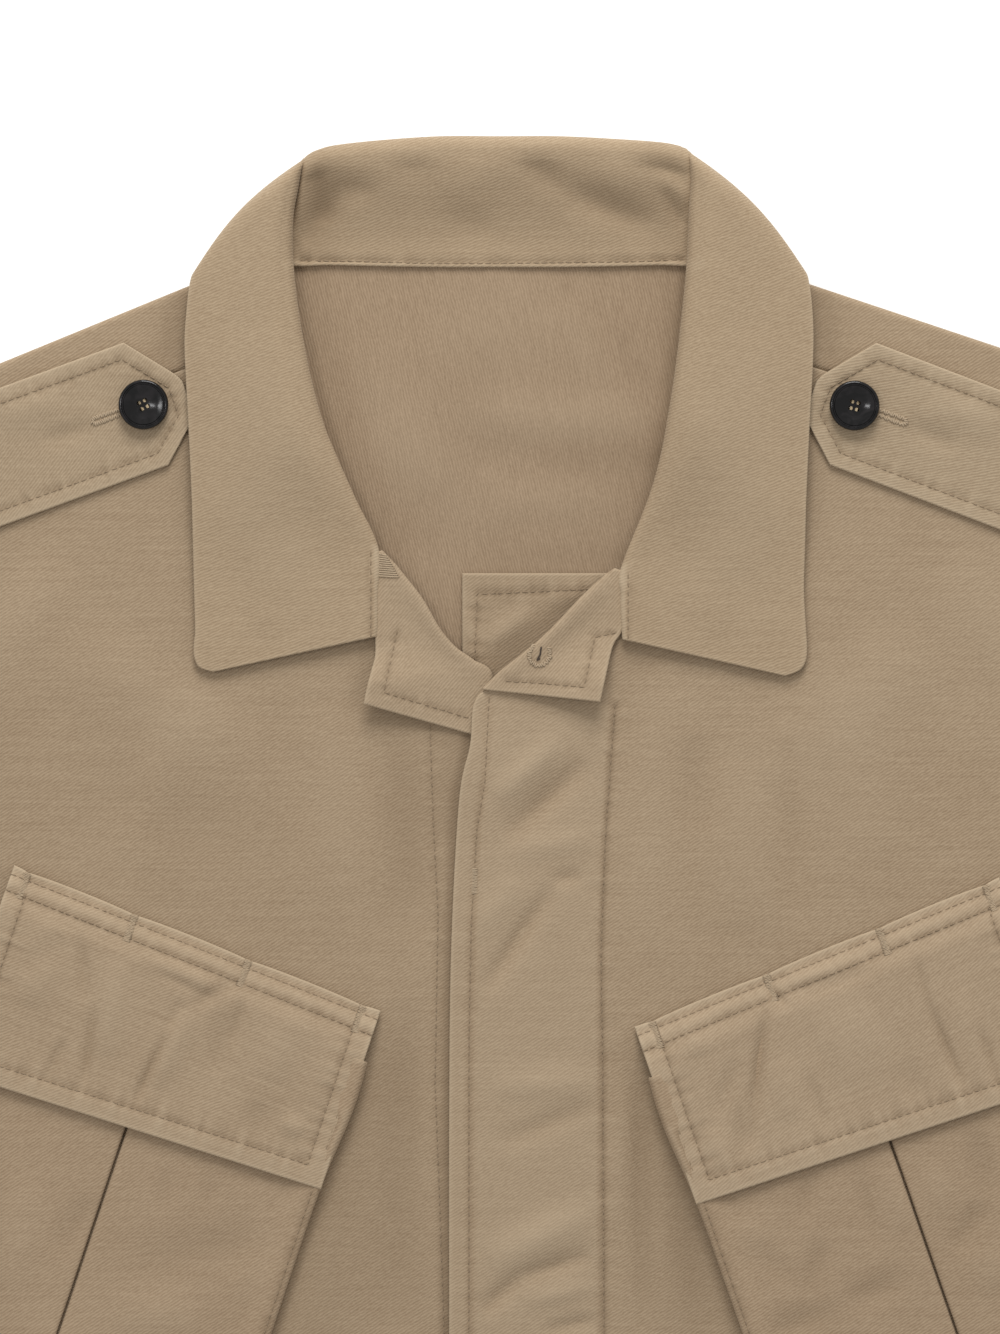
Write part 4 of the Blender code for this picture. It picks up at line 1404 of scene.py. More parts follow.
@dataclass
class Pocket(Cloth):
    """A chest pocket with sides folded under and an inverted pleat down its middle."""

    side: Side = Side.RIGHT
    row_step: float = 0.0022
    flat_step: float = 0.0021
    turn_steps: int = 7
    tuck: float = 0.012
    bulge: float = 0.0026
    bulge_at: float = 0.032
    bulge_reach: float = 0.024
    bulge_width: float = 0.02
    edge_rise: float = 0.8
    edge_reach: float = 0.014

    def turn(self, at: float, first: float, last: float, bulge: float) -> list[Point]:
        """A half turn of the section from one layer to another, bulging to one side."""
        radius = abs(last - first) / 2
        angles = np.linspace(0.0, math.pi, self.turn_steps)
        return [(at + bulge * radius * math.sin(angle), mix(first, last, (1 - math.cos(angle)) / 2))
                for angle in angles]

    def section(self) -> Array:
        """The pocket's cross-section, along the flap and up from the front, in metres."""
        top, middle, under = 3 * PITCH, 2 * PITCH, PITCH
        inner, outer = POCKET_INSET + PITCH, FLAP_LENGTH - POCKET_INSET - PITCH
        slit = PLEAT_SLIT + PITCH / 2
        turns = ((inner, under, top, -1.0), (PLEAT_AT - slit, top, middle, 1.0),
                 (PLEAT_AT - PLEAT_DEPTH, middle, under, -1.0),
                 (PLEAT_AT + PLEAT_DEPTH, under, middle, 1.0),
                 (PLEAT_AT + slit, middle, top, -1.0), (outer, top, under, 1.0))
        corners = [(inner + self.tuck, under)]
        for sizes in turns:
            corners += self.turn(*sizes)
        corners += [(outer - self.tuck, under)]
        fine = [np.asarray(corners[0])]
        for first, last in zip(corners, corners[1:]):
            steps = max(1, round(math.dist(first, last) / self.flat_step))
            fine += [mix(np.asarray(first), np.asarray(last), k / steps) for k in range(1, steps + 1)]
        return np.stack(fine)

    def grids(self) -> list[Array]:
        """Rows of points from under the flap down to the pocket's bottom."""
        reach, layer = self.section().T[:, None, :]
        down = np.arange(POCKET_TOP, POCKET_BOTTOM + self.row_step / 2, self.row_step)[:, None]
        bulge = self.bulge * bell(down - self.bulge_at, self.bulge_reach)
        reach = reach - bulge * ease(1.0 - reach / self.bulge_width)
        layer = layer + self.edge_rise * (layer - PITCH) * ease(1.0 - reach / self.edge_reach)
        x, y = pocket_spot(self.side, reach, down)
        grid = plan(x, y, bed(self.side, x, y) + layer)
        return [rim_all(grid[:, ::self.side.sign], self.wall)]


@dataclass
class Flap(Cloth):
    """A pocket flap, sewn to the front along its top edge and lying over the pocket."""

    side: Side = Side.RIGHT
    column_step: float = 0.0011
    rows: int = 68
    tacks: tuple[float, ...] = FLAP_TACKS
    swell: float = 0.0008
    swell_reach: float = 0.007
    puff: float = 0.0012
    puff_middle: float = 0.0054
    puff_reach: float = 0.0026
    hem_lift: float = 0.0007
    hem_reach: float = 0.022

    def grids(self) -> list[Array]:
        """Rows of points from the sewn edge down to the free edge."""
        reach = FLAP_LENGTH * stations((FLAP_LENGTH, self.column_step))[None, :]
        length = mix(FLAP_INNER, FLAP_OUTER, reach / FLAP_LENGTH)
        down = length * np.linspace(0.0, 1.0, self.rows)[:, None]
        layer = mix(PITCH, 4 * PITCH, ease(down / FLAP_RAMP))
        loose = self.loose(reach)
        layer = layer + self.puff * loose * bell(down - self.puff_middle, self.puff_reach)
        layer = layer + self.hem_lift * ease(1.0 - (length - down) / self.hem_reach)
        down = down - self.swell * loose * ease(1.0 - down / self.swell_reach)
        x, y = pocket_spot(self.side, reach, down)
        grid = plan(x, y, bed(self.side, x, y) + layer)
        return [rim_all(grid[:, ::self.side.sign], self.wall)]

    def loose(self, reach: Array) -> Array:
        """How loose the top band is along the flap: 0 at a bartack, 1 midway between two."""
        margin = self.tacks[0]
        ends = np.asarray([-margin, *self.tacks, FLAP_LENGTH + margin])
        place = np.clip(np.searchsorted(ends, reach) - 1, 0, len(ends) - 2)
        share = (reach - ends[place]) / (ends[place + 1] - ends[place])
        return np.sqrt(np.clip(np.sin(math.pi * share), 0.0, 1.0))


class Sewing(Enum):
    """The kinds of stitching: piece, thread, pitch, stitch length, thread radius, turn and sway."""

    TOPSTITCH = ("topstitching", "cotton_thread", 0.0029, 0.0023, 0.00023, 0.0, 0.22)
    BARTACK = ("bartacks", "cotton_thread_buttonholes", 0.00052, 0.0034, 0.0003, math.pi / 2, 0.3)
    BUTTONHOLE = ("buttonhole_stitching", "cotton_thread_buttonholes", 0.00072, 0.0021, 0.00038,
                  math.pi / 2, 1.5)
    SATIN = ("satin_bar", "cotton_thread_buttonholes", 0.0011, 0.0028, 0.00036, 0.0, 0.08)
    # dark strokes along the keyhole's cut: painted shade inside the slit
    SLIT = ("buttonhole_slits", "cotton_shaded_slit", 0.0005, 0.0012, 0.00036, 0.0, 0.1)

    def __init__(self, piece: str, thread: str, pitch: float, length: float, radius: float, turn: float,
                 sway: float) -> None:
        """Keep the names of the kind's piece and thread, and its sizes."""
        self.piece, self.thread = piece, thread
        self.pitch, self.length, self.radius = pitch, length, radius
        self.turn, self.sway = turn, sway


class Stitcher:
    """Sews stitches along paths with one Geometry Nodes tree."""

    INPUTS = (("Pitch", "NodeSocketFloat"), ("Stitch Length", "NodeSocketFloat"),
              ("Thread Radius", "NodeSocketFloat"), ("Turn", "NodeSocketFloat"),
              ("Unevenness", "NodeSocketFloat"), ("Seed", "NodeSocketInt"),
              ("Thread", "NodeSocketMaterial"))
    SEED = 7
    SIDES, RINGS = 6, 5  # of one stitch
    SEATING = 0.35       # how far a stitch's middle stands over the cloth, as a share of its radius

    def __init__(self) -> None:
        """Build the tree and start with no paths."""
        self.paths: dict[Sewing, list[Array]] = {kind: [] for kind in Sewing}
        self.tree, self.sockets = self.build_tree()

    def build_tree(self) -> tuple[Tree, dict[str, str]]:
        """The tree that lays one stitch at each pitch of each path.

        Returns:
            The tree, and its inputs' identifiers by name.
        """
        tree = bpy.data.node_groups.new("stitch_paths", "GeometryNodeTree")
        face = tree.interface
        face.new_socket("Geometry", in_out="INPUT", socket_type="NodeSocketGeometry")
        named = {name: face.new_socket(name, in_out="INPUT", socket_type=kind).identifier
                 for name, kind in self.INPUTS}
        face.new_socket("Geometry", in_out="OUTPUT", socket_type="NodeSocketGeometry")
        given = tree.nodes.new("NodeGroupInput").outputs
        curve = add_node(tree, "GeometryNodeMeshToCurve", {"Mesh": given["Geometry"]})
        spots = add_node(tree, "GeometryNodeCurveToPoints",
                         {"Curve": curve.outputs[0], "Length": given["Pitch"]}, mode="LENGTH")
        stitch = add_node(tree, "GeometryNodeMeshUVSphere",
                          {"Segments": self.SIDES, "Rings": self.RINGS, "Radius": 1.0})
        laid = add_node(tree, "GeometryNodeInstanceOnPoints", {
            "Points": spots.outputs["Points"], "Instance": stitch.outputs["Mesh"],
            "Rotation": self.turned(tree, given, spots.outputs["Tangent"]),
            "Scale": self.sized(tree, given)})
        for kind in ("GeometryNodeRealizeInstances", "GeometryNodeSetShadeSmooth"):
            laid = add_node(tree, kind, {"Geometry": laid.outputs[0]})
        done = add_node(tree, "GeometryNodeSetMaterial",
                        {"Geometry": laid.outputs[0], "Material": given["Thread"]})
        add_node(tree, "NodeGroupOutput", {0: done.outputs[0]})
        return tree, named

    def turned(self, tree: Tree, given: bpy.types.NodeOutputs, tangent: Socket) -> Socket:
        """Each stitch's rotation: along its path, turned as its kind is, and a little uneven."""
        face_along = add_node(tree, "FunctionNodeAlignRotationToVector", {"Vector": tangent},
                              axis="X", pivot_axis="Z")
        slack = add_node(tree, "FunctionNodeRandomValue", {"Seed": given["Seed"]}, data_type="FLOAT")
        centred = add_node(tree, "ShaderNodeMath", {0: slack.outputs["Value"], 1: 0.5},
                           operation="SUBTRACT")
        wander = add_node(tree, "ShaderNodeMath", {0: centred.outputs[0], 1: given["Unevenness"],
                                                   2: given["Turn"]}, operation="MULTIPLY_ADD")
        swing = add_node(tree, "ShaderNodeCombineXYZ", {"Z": wander.outputs[0]})
        turned = add_node(tree, "FunctionNodeRotateRotation",
                          {"Rotation": face_along.outputs[0], "Rotate By": swing.outputs[0]},
                          rotation_space="LOCAL")
        return turned.outputs[0]

    def sized(self, tree: Tree, given: bpy.types.NodeOutputs) -> Socket:
        """A stitch's half length and radius as a scale."""
        half = add_node(tree, "ShaderNodeMath", {0: given["Stitch Length"], 1: 0.5}, operation="MULTIPLY")
        radius = given["Thread Radius"]
        size = add_node(tree, "ShaderNodeCombineXYZ", {"X": half.outputs[0], "Y": radius, "Z": radius})
        return size.outputs[0]

    def sew(self, kind: Sewing, host: Piece, line: Sequence[Point],
            spacing: float = 2.0) -> None:
        """Lay a path of readings on a piece.

        Args:
            kind: the kind of stitching.
            host: the piece that it is sewn on.
            line: the path's readings.
            spacing: how close the path follows the cloth, in readings.
        """
        path = ground(host, along(line, spacing), kind.radius * self.SEATING)
        if len(path) > 1:
            self.paths[kind].append(path)

    def build(self, kind: Sewing, thread: Material) -> Piece:
        """Make all the stitches of one kind as a plain mesh.

        Args:
            kind: the kind of stitching.
            thread: the thread's finish.
        Returns:
            The finished piece.
        """
        verts = np.concatenate(self.paths[kind])
        edges, first = [], 0
        for path in self.paths[kind]:
            edges += [(first + k, first + k + 1) for k in range(len(path) - 1)]
            first += len(path)
        lines = bpy.data.meshes.new(kind.piece + "_paths")
        lines.from_pydata(verts.tolist(), edges, [])
        made = link(kind.piece, lines)
        sewn = made.modifiers.new("stitches", "NODES")
        sewn.node_group = self.tree
        values = {"Pitch": kind.pitch, "Stitch Length": kind.length, "Thread Radius": kind.radius,
                  "Turn": kind.turn, "Unevenness": kind.sway, "Seed": self.SEED, "Thread": thread}
        for name, value in values.items():
            sewn[self.sockets[name]] = value
        graph = bpy.context.evaluated_depsgraph_get()
        mesh = bpy.data.meshes.new_from_object(made.evaluated_get(graph))
        made.modifiers.remove(sewn)
        made.data = mesh
        mesh.name = kind.piece
        LOG.info("%s: %d faces", kind.piece, len(mesh.polygons))
        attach(made, BODY)
        return made


# A button's section. Its dish: radius, and depth as a share of the dish's. Its groove: place from
# the groove's middle, and depth. Its rim: place in from the rim, and depth. Its underside: place
# in from the rim, and height.
DISH_CURVE = ((0.0, 1.0), (0.0014, 0.98), (0.0028, 0.86), (0.0040, 0.64), (0.0050, 0.38), (0.0059, 0.16))
GROOVE_CURVE = ((-0.00045, 0.0001), (-0.00025, 0.00035), (0.00015, 0.00035), (0.00035, 0.00004))
RIM_CURVE = ((0.0009, 0.0), (0.0004, 0.00018), (0.0001, 0.0006), (0.0, 0.00128))
UNDER_CURVE = ((0.0003, 0.001024), (0.0012, 0.0003), (0.0020, 0.0))
# Thread between two holes: place as a share of the holes' spread, and height over the dish
THREAD_NEAR = ((-1.0, -0.0010), (-1.0, -0.0002), (-0.7, -0.0004), (0.7, -0.0004), (1.0, -0.0002),
               (1.0, -0.0010))
THREAD_SUNK = ((-1.0, -0.0012), (-1.0, -0.0007), (-0.6, -0.0006), (0.6, -0.0006), (1.0, -0.0007),
               (1.0, -0.0012))

# Soft lights: name, place, what it faces, size and power
LIGHTS = (
    ("key", (0.06, 1.80, 1.10), (0.0, 0.15, 0.0), (0.9, 0.9), 27.0),
    ("window", (-0.78, 0.42, 1.6), (0.0, 0.28, 0.0), (0.14, 0.5), 3.0),
)
PAPER_TONES = ("#FBFBFA", "#FFFFFF")


@dataclass
class Button:
    """A four-hole button sewn to a shoulder strap, dished, with a turned groove inside its rim."""

    side: Side
    finish: Material
    thread: Material
    steps: int = 72
    hole_steps: int = 20
    groove_at: float = 0.0076
    dish: float = 0.0011
    lift: float = 0.0003
    sharp: float = math.radians(40)
    thread_radius: float = 0.00026
    thread_sides: int = 8
    strand_pitch: float = 1.7

    @property
    def centre(self) -> Array:
        """The middle of the button's underside, in metres."""
        x, y = STRAP_SPOTS[self.side][4:]
        spot = np.asarray(x), np.asarray(y)
        return plan(*spot, front_height(Side.RIGHT, *spot) + PITCH + SOLID_WALL / 2 + self.lift)

    def profile(self) -> list[Point]:
        """Radius and height round the button's section, from the top's middle to the underside's."""
        thick, rim = BUTTON_THICK, BUTTON_RADIUS
        dish = [(radius, thick - self.dish * share) for radius, share in DISH_CURVE]
        groove = [(self.groove_at + place, thick - depth) for place, depth in GROOVE_CURVE]
        edge = [(rim - place, thick - depth) for place, depth in RIM_CURVE]
        under = [(rim - place, height) for place, height in UNDER_CURVE]
        return [*dish, *groove, *edge, *under, (0.0, 0.0)]

    def disc(self) -> Piece:
        """The turned disc, with its middle at the origin."""
        mesh = bmesh.new()
        verts = [mesh.verts.new((radius, 0.0, height)) for radius, height in self.profile()]
        edges = [mesh.edges.new(pair) for pair in zip(verts, verts[1:])]
        bmesh.ops.spin(mesh, geom=verts + edges, cent=(0, 0, 0), axis=(0, 0, 1), angle=2 * math.pi,
                       steps=self.steps, use_merge=True)
        bmesh.ops.remove_doubles(mesh, verts=mesh.verts, dist=WELD / 2)
        bmesh.ops.recalc_face_normals(mesh, faces=mesh.faces)
        return add_piece("button_disc", mesh)

    def drill(self) -> Piece:
        """Four pins that cut the holes."""
        mesh = bmesh.new()
        for step in range(4):
            angle = math.pi / 4 + math.pi / 2 * step + BUTTON_TURN[self.side]
            pin = bmesh.ops.create_cone(mesh, cap_ends=True, segments=self.hole_steps,
                                        radius1=BUTTON_HOLE_RADIUS, radius2=BUTTON_HOLE_RADIUS,
                                        depth=BUTTON_THICK * 3)
            spot = Vector((math.cos(angle), math.sin(angle), 0.0)) * BUTTON_HOLE_SPREAD * math.sqrt(2)
            bmesh.ops.translate(mesh, verts=pin["verts"], vec=spot)
        return add_piece("button_drill", mesh)

    def build(self) -> list[Piece]:
        """Make the button and its sewing thread.

        Returns:
            The two finished pieces.
        """
        disc, drill = self.disc(), self.drill()
        cut = disc.modifiers.new("holes", "BOOLEAN")
        cut.operation, cut.solver, cut.object = "DIFFERENCE", "EXACT", drill
        graph = bpy.context.evaluated_depsgraph_get()
        mesh = bpy.data.meshes.new_from_object(disc.evaluated_get(graph))
        for spare in (disc, drill):
            bpy.data.objects.remove(spare)
        mesh.transform(Matrix.Translation(Vector(self.centre)))
        mesh.materials.clear()
        mesh.materials.append(self.finish)
        mesh.polygons.foreach_set("use_smooth", np.ones(len(mesh.polygons), dtype=bool))
        name = "button_" + self.side.word
        mesh.name = name
        mesh.set_sharp_from_angle(angle=self.sharp)
        button = link(name + "_turned", mesh)
        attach(button, BODY)
        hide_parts(name)
        sewn = self.sew()
        LOG.info("%s: %d faces", button.name, len(mesh.polygons))
        return [button, sewn]

    def sew(self) -> Piece:
        """Strands of thread seen just inside the two lower holes and deeper in the other two."""
        mesh = bmesh.new()
        turn = Matrix.Rotation(BUTTON_TURN[self.side], 3, "Z")
        floor = BUTTON_THICK - self.dish
        for row, ends in ((-1.0, THREAD_NEAR), (1.0, THREAD_SUNK)):
            for strand in (-1, 0, 1):
                y = row * BUTTON_HOLE_SPREAD + strand * self.thread_radius * self.strand_pitch
                spots = [Vector((share * BUTTON_HOLE_SPREAD, y, floor + rise)) for share, rise in ends]
                path = [self.centre + np.asarray(turn @ spot) for spot in spots]
                add_tube(mesh, np.asarray(path), self.thread_radius, self.thread_sides)
        made = add_piece("button_thread_" + self.side.word, mesh)
        made.data.materials.append(self.thread)
        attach(made, BODY)
        return made


def add_piece(name: str, mesh: bmesh.types.BMesh) -> Piece:
    """Make an object of a bmesh, smooth shaded."""
    data = bpy.data.meshes.new(name)
    mesh.to_mesh(data)
    mesh.free()
    data.polygons.foreach_set("use_smooth", np.ones(len(data.polygons), dtype=bool))
    return link(name, data)


def add_tube(mesh: bmesh.types.BMesh, path: Array, radius: float, sides: int) -> None:
    """Add a closed tube along a path to a bmesh.

    Args:
        mesh: the bmesh.
        path: the tube's middle, in metres.
        radius: the tube's radius in metres.
        sides: how many sides it has.
    """
    flow = np.gradient(path, axis=0)
    rings = []
    for spot, run in zip(path, flow):
        frame_turn = Vector(run).to_track_quat("Z", "Y")
        ring = [Vector(spot) + frame_turn @ Vector((math.cos(angle), math.sin(angle), 0.0)) * radius
                for angle in np.linspace(0.0, 2 * math.pi, sides, endpoint=False)]
        rings.append([mesh.verts.new(point) for point in ring])
    for first, second in zip(rings, rings[1:]):
        for k in range(sides):
            mesh.faces.new((first[k], first[(k + 1) % sides], second[(k + 1) % sides], second[k]))
    mesh.faces.new(rings[0][::-1])
    mesh.faces.new(rings[-1])
    bmesh.ops.recalc_face_normals(mesh, faces=mesh.faces)


@dataclass
class Studio:
    """Pale floor, soft light from above the collar, and the camera straight above."""

    camera_height: float = 2.2
    focus_height: float = 0.006
    sensor: float = 36.0
    floor_half: float = 3.0
    floor_height: float = -0.0006
    paper_mm: float = 1000.0 / 6.0
    paper_roughness: float = 0.9
    paper_specular: float = 0.1
    paper_glow: float = 0.22
    room: float = 0.565

    def floor(self) -> Piece:
        """The surface that the jacket lies on."""
        mesh = bmesh.new()
        bmesh.ops.create_grid(mesh, x_segments=4, y_segments=4, size=self.floor_half)
        bmesh.ops.translate(mesh, verts=mesh.verts, vec=(0.0, 0.0, self.floor_height))
        made = add_piece("floor", mesh)
        material, tree, shader, place = blank_material("matt_white_paper")
        grain = add_node(tree, "ShaderNodeTexNoise", {
            "Vector": place, "Scale": 1.0 / (self.paper_mm * MM), "Detail": 2.0})
        grey, white = (linear(tone) for tone in PAPER_TONES)
        colour = add_node(tree, "ShaderNodeMix", {"Factor": grain.outputs["Fac"], "A": grey, "B": white},
                          data_type="RGBA")
        fill(tree, shader, {
            "Base Color": colour.outputs["Result"], "Roughness": self.paper_roughness,
            "Specular IOR Level": self.paper_specular, "Emission Color": white,
            "Emission Strength": self.paper_glow,
        })
        made.data.materials.append(material)
        return made

    def area_light(self, name: str, place: Spot, aim: Spot, size: Point, power: float) -> None:
        """A soft rectangular light that faces a point."""
        lamp = bpy.data.lights.new(name, "AREA")
        lamp.shape = "RECTANGLE"
        lamp.size, lamp.size_y = size
        lamp.energy = power
        made = link(name, lamp)
        made.location = place
        made.rotation_euler = (Vector(aim) - Vector(place)).to_track_quat("-Z", "Y").to_euler()

    def light(self) -> None:
        """Soft studio light."""
        world = bpy.data.worlds.new("soft_room")
        world.use_nodes = True
        room = world.node_tree.nodes["Background"]
        room.inputs["Color"].default_value = (1.0, 1.0, 1.0, 1.0)
        room.inputs["Strength"].default_value = self.room
        bpy.context.scene.world = world
        for sizes in LIGHTS:
            self.area_light(*sizes)
        bpy.context.scene.view_settings.view_transform = "Standard"

    def camera(self) -> None:
        """A long lens straight above the middle of the view."""
        lens = bpy.data.cameras.new("camera")
        height = VIEW_HEIGHT * GRID
        lens.sensor_width = self.sensor
        lens.sensor_fit = "AUTO"
        lens.lens = self.sensor * (self.camera_height - self.focus_height) / height
        made = link("camera", lens)
        middle = plan(np.asarray(VIEW_WIDTH / 2), np.asarray(VIEW_HEIGHT / 2), self.camera_height)
        made.location = Vector(middle)
        bpy.context.scene.camera = made


# Soft ridges and troughs of the fronts; what lies on a front follows them
FRONT_CREASES = {
    Side.RIGHT: folds(
        (384, 556, 480, 676, 5, -1.4), (330, 700, 345, 900, 14, -1.4), (400, 740, 412, 940, 9, 1.5),
        (60, 640, 250, 760, 14, -1.3), (205, 690, 120, 860, 11, -0.9), (100, 780, 230, 850, 12, 0.9),
        (424, 900, 420, 1300, 5, -0.7), (410, 1000, 396, 1340, 10, 2.0), (60, 560, -40, 700, 12, -1.2),
        (-80, 700, -60, 1150, 15, -1.4), (300, 1500, 420, 1900, 16, -1.6),
        (60, 1480, 180, 2050, 18, -1.8),
        (-130, 1300, -90, 1800, 15, -1.4), (380, 1950, 200, 2200, 14, -1.4),
    ),
    Side.LEFT: folds(
        (610, 576, 504, 676, 5, -2.0), (495, 800, 560, 738, 4.5, -1.7), (505, 838, 588, 762, 4.5, 2.1),
        (515, 852, 595, 838, 4, -0.9), (485, 990, 552, 888, 3.4, 2.0), (552, 880, 582, 876, 2.6, 1.2),
        (470, 935, 520, 880, 5, -1.1), (490, 1088, 600, 1082, 5, -1.1), (500, 1142, 592, 1108, 4, 1.2),
        (488, 1262, 592, 1212, 6.5, -2.0), (482, 1312, 520, 1278, 3.2, 1.9),
        (512, 1280, 592, 1255, 3, 1.8),
        (525, 1302, 592, 1286, 3, -1.0), (545, 1330, 598, 1320, 2.2, 1.4), (690, 735, 700, 835, 8, 1.2),
        (790, 740, 796, 915, 4, 1.0), (740, 760, 745, 930, 14, -1.2), (660, 690, 640, 940, 10, -1.0),
        (930, 640, 760, 780, 15, -1.4), (850, 720, 870, 860, 11, -0.9), (640, 1080, 644, 1334, 4, 1.8),
        (622, 1070, 616, 1230, 5, -1.0), (672, 1180, 705, 1334, 6, 1.6), (950, 560, 1050, 700, 12, -1.2),
        (1090, 720, 1070, 1160, 15, -1.4), (700, 1500, 590, 1880, 16, -1.6),
        (940, 1500, 830, 2040, 18, -1.8),
        (1120, 1320, 1100, 1800, 15, -1.4), (620, 1960, 800, 2210, 14, -1.4),
    ),
}
BACK_CREASES = folds(
    (450, 414, 664, 424, 10, -1.4), (480, 498, 622, 502, 9, -0.7), (420, 320, 560, 330, 22, -0.9),
    (380, 420, 500, 540, 14, -0.8), (360, 340, 420, 500, 14, -0.9), (560, 300, 600, 390, 9, -0.7),
    (200, 1300, 420, 1900, 20, -1.0), (760, 1250, 640, 1950, 22, -1.0),
)
COLLAR_CREASES = folds(
    (316, 160, 322, 225, 5, 2.2), (300, 240, 345, 190, 5, 1.5), (330, 185, 376, 192, 5, 1.7),
    (398, 158, 430, 180, 5, 1.0), (445, 212, 495, 232, 7, 1.0), (522, 158, 566, 190, 5, 1.8),
    (566, 188, 655, 226, 5.5, 2.2), (638, 154, 692, 176, 5, 2.0), (664, 186, 684, 228, 3, 1.3),
    (655, 172, 690, 204, 3, -0.9), (480, 148, 486, 190, 12, -0.6), (430, 180, 500, 205, 8, -0.5),
    (560, 215, 620, 240, 7, -0.7), (600, 165, 640, 190, 6, -0.7), (250, 330, 285, 520, 18, -1.1),
    (225, 480, 320, 610, 14, -0.9), (750, 330, 715, 520, 18, -1.1), (775, 480, 680, 615, 14, -0.9),
    (258, 620, 268, 662, 7, 0.4), (718, 622, 728, 664, 7, 0.4), (345, 522, 362, 552, 3, 0.35),
    (640, 535, 648, 560, 3, 0.4),
)
UNDERLAY_CREASES = folds(
    (480, 648, 532, 610, 4, -1.5), (545, 600, 600, 586, 4, -0.8), (468, 610, 476, 660, 3, -0.7),
    (505, 582, 512, 600, 2.5, -0.6),
)
# On a sleeve: shares down and across it of the first and the last place, width and depth
SLEEVE_CREASES = (
    (0.12, 0.30, 0.30, 0.75, 14, -1.6), (0.24, 0.85, 0.36, 0.35, 12, -1.4),
    (0.42, 0.15, 0.50, 0.70, 13, -1.8),
    (0.48, 0.90, 0.60, 0.45, 11, -1.5), (0.58, 0.20, 0.72, 0.60, 14, -1.5),
    (0.74, 0.80, 0.86, 0.30, 12, -1.2),
    (0.08, 0.70, 0.22, 0.95, 10, -1.2),
)
STRAP_CREASES = {
    Side.RIGHT: folds((40, 442, 96, 426, 4, 1.2), (0, 420, 60, 396, 6, -1.2)),
    Side.LEFT: folds((905, 424, 960, 448, 4, 1.2), (930, 398, 1000, 430, 6, -1.2)),
}
# The last ridge of each flap is over the button that it hides
FLAP_CREASES = {
    Side.RIGHT: folds(
        (84, 1095, 94, 1010, 1.9, 1.7), (85, 1000, 82, 935, 2.4, 1.1), (135, 1102, 168, 1034, 2.0, 2.1),
        (168, 1030, 182, 1000, 2.4, 0.8), (47, 1082, 64, 1040, 2.0, 1.2),
        (243, 1000, 232, 1045, 2.2, 1.1), (64, 935, 24, 975, 5, 1.1),
        (214, 1075, 226, 1010, 4.5, 1.0), (104, 1055, 118, 960, 5, -1.4), (150, 1085, 190, 1012, 5, -1.4),
        (30, 1005, 52, 922, 6, -1.4), (270, 1080, 295, 1010, 7, -1.0), (320, 1100, 335, 1040, 5, -0.8),
        (150, 957, 214, 985, 2.4, -1.0), (156, 971, 216, 998, 2.4, 0.6), (190, 1006, 240, 980, 3, 1.3),
        (250, 1140, 262, 1100, 4, 0.8), (284, 1117, 302, 1133, 3.4, -1.2),
    ),
    Side.LEFT: folds(
        (752, 1115, 766, 1005, 2.2, 2.1), (748, 1150, 753, 1110, 2.0, 0.9),
        (765, 985, 788, 1006, 1.6, 1.4),
        (786, 984, 872, 958, 2.4, -1.0), (800, 997, 876, 969, 2.4, 0.6), (914, 955, 928, 1005, 1.8, 0.9),
        (926, 1000, 962, 1086, 1.9, 1.8), (978, 1028, 998, 1085, 2.2, 1.4),
        (716, 1115, 736, 1058, 3.5, 0.9),
        (738, 1105, 740, 1160, 1.8, 0.9), (690, 1020, 700, 1055, 5, -1.0),
        (808, 1075, 828, 1135, 2.2, 0.8),
        (820, 1050, 880, 1020, 14, -1.2), (900, 1060, 930, 1110, 5, 0.8), (780, 1060, 790, 1120, 5, -0.9),
        (955, 990, 985, 1075, 4, -0.8), (712, 1128, 724, 1168, 4, -1.2),
    ),
}
POCKET_CREASES = {
    Side.RIGHT: folds(
        (92, 1198, 58, 1255, 5, 1.2), (30, 1180, 10, 1290, 7, -1.0), (130, 1262, 285, 1238, 9, 1.2),
        (110, 1318, 200, 1312, 8, -1.2), (170, 1165, 160, 1215, 3, 0.8), (215, 1175, 205, 1210, 3, 0.6),
        (240, 1300, 275, 1210, 6, -0.7), (40, 1340, 150, 1420, 12, -1.4), (230, 1380, 100, 1460, 10, 1.0),
    ),
    Side.LEFT: folds(
        (812, 1170, 800, 1220, 3.5, 1.0), (822, 1240, 808, 1298, 4.5, 1.3),
        (856, 1168, 876, 1245, 2.6, 1.0),
        (886, 1165, 905, 1230, 5, -1.0), (976, 1132, 986, 1200, 4.5, 1.5),
        (984, 1200, 956, 1252, 4.5, 1.5),
        (930, 1160, 945, 1215, 5, -0.9), (988, 1245, 996, 1290, 6, -1.0), (846, 1302, 905, 1278, 5, 1.2),
        (766, 1335, 835, 1308, 5, 1.3), (765, 1252, 792, 1284, 4, 0.8), (742, 1215, 760, 1250, 6, -0.9),
        (780, 1390, 900, 1450, 12, -1.4), (960, 1360, 900, 1440, 9, 1.0),
    ),
}

# Sewn lines and bands, in grid readings
NECK_STITCH = ((302, 260), (360, 261), (430, 263), (500, 263), (570, 262), (640, 261), (682, 259))
NECK_EDGE = ((288, 267), (500, 268), (700, 266))
FLY_EDGE_STITCH = ((489, 700), (485, 780), (477, 830), (471, 928), (469, 1038), (469, 1334), (469, 2285))
FLY_WIDTH_STITCH = ((615, 706), (606, 830), (601, 950), (603, 1083), (604, 1334), (604, 2160),
(470, 2240))
FLY_BARTACK = ((474, 869), (474, 893))
FLY_EDGE = ((473, 705), (472, 735), (458, 800), (451, 950), (449, 1120), (449, 2300))
FLY_MIDDLE = ((548, 712), (541, 830), (536, 1038), (536, 2200))
UNDER_STITCH = ((430, 728), (433, 817), (438, 914), (435, 1083), (440, 1215), (444, 1334), (446, 2285))
UNDERLAY_STITCH = ((589, 589), (477, 594), (474, 690))
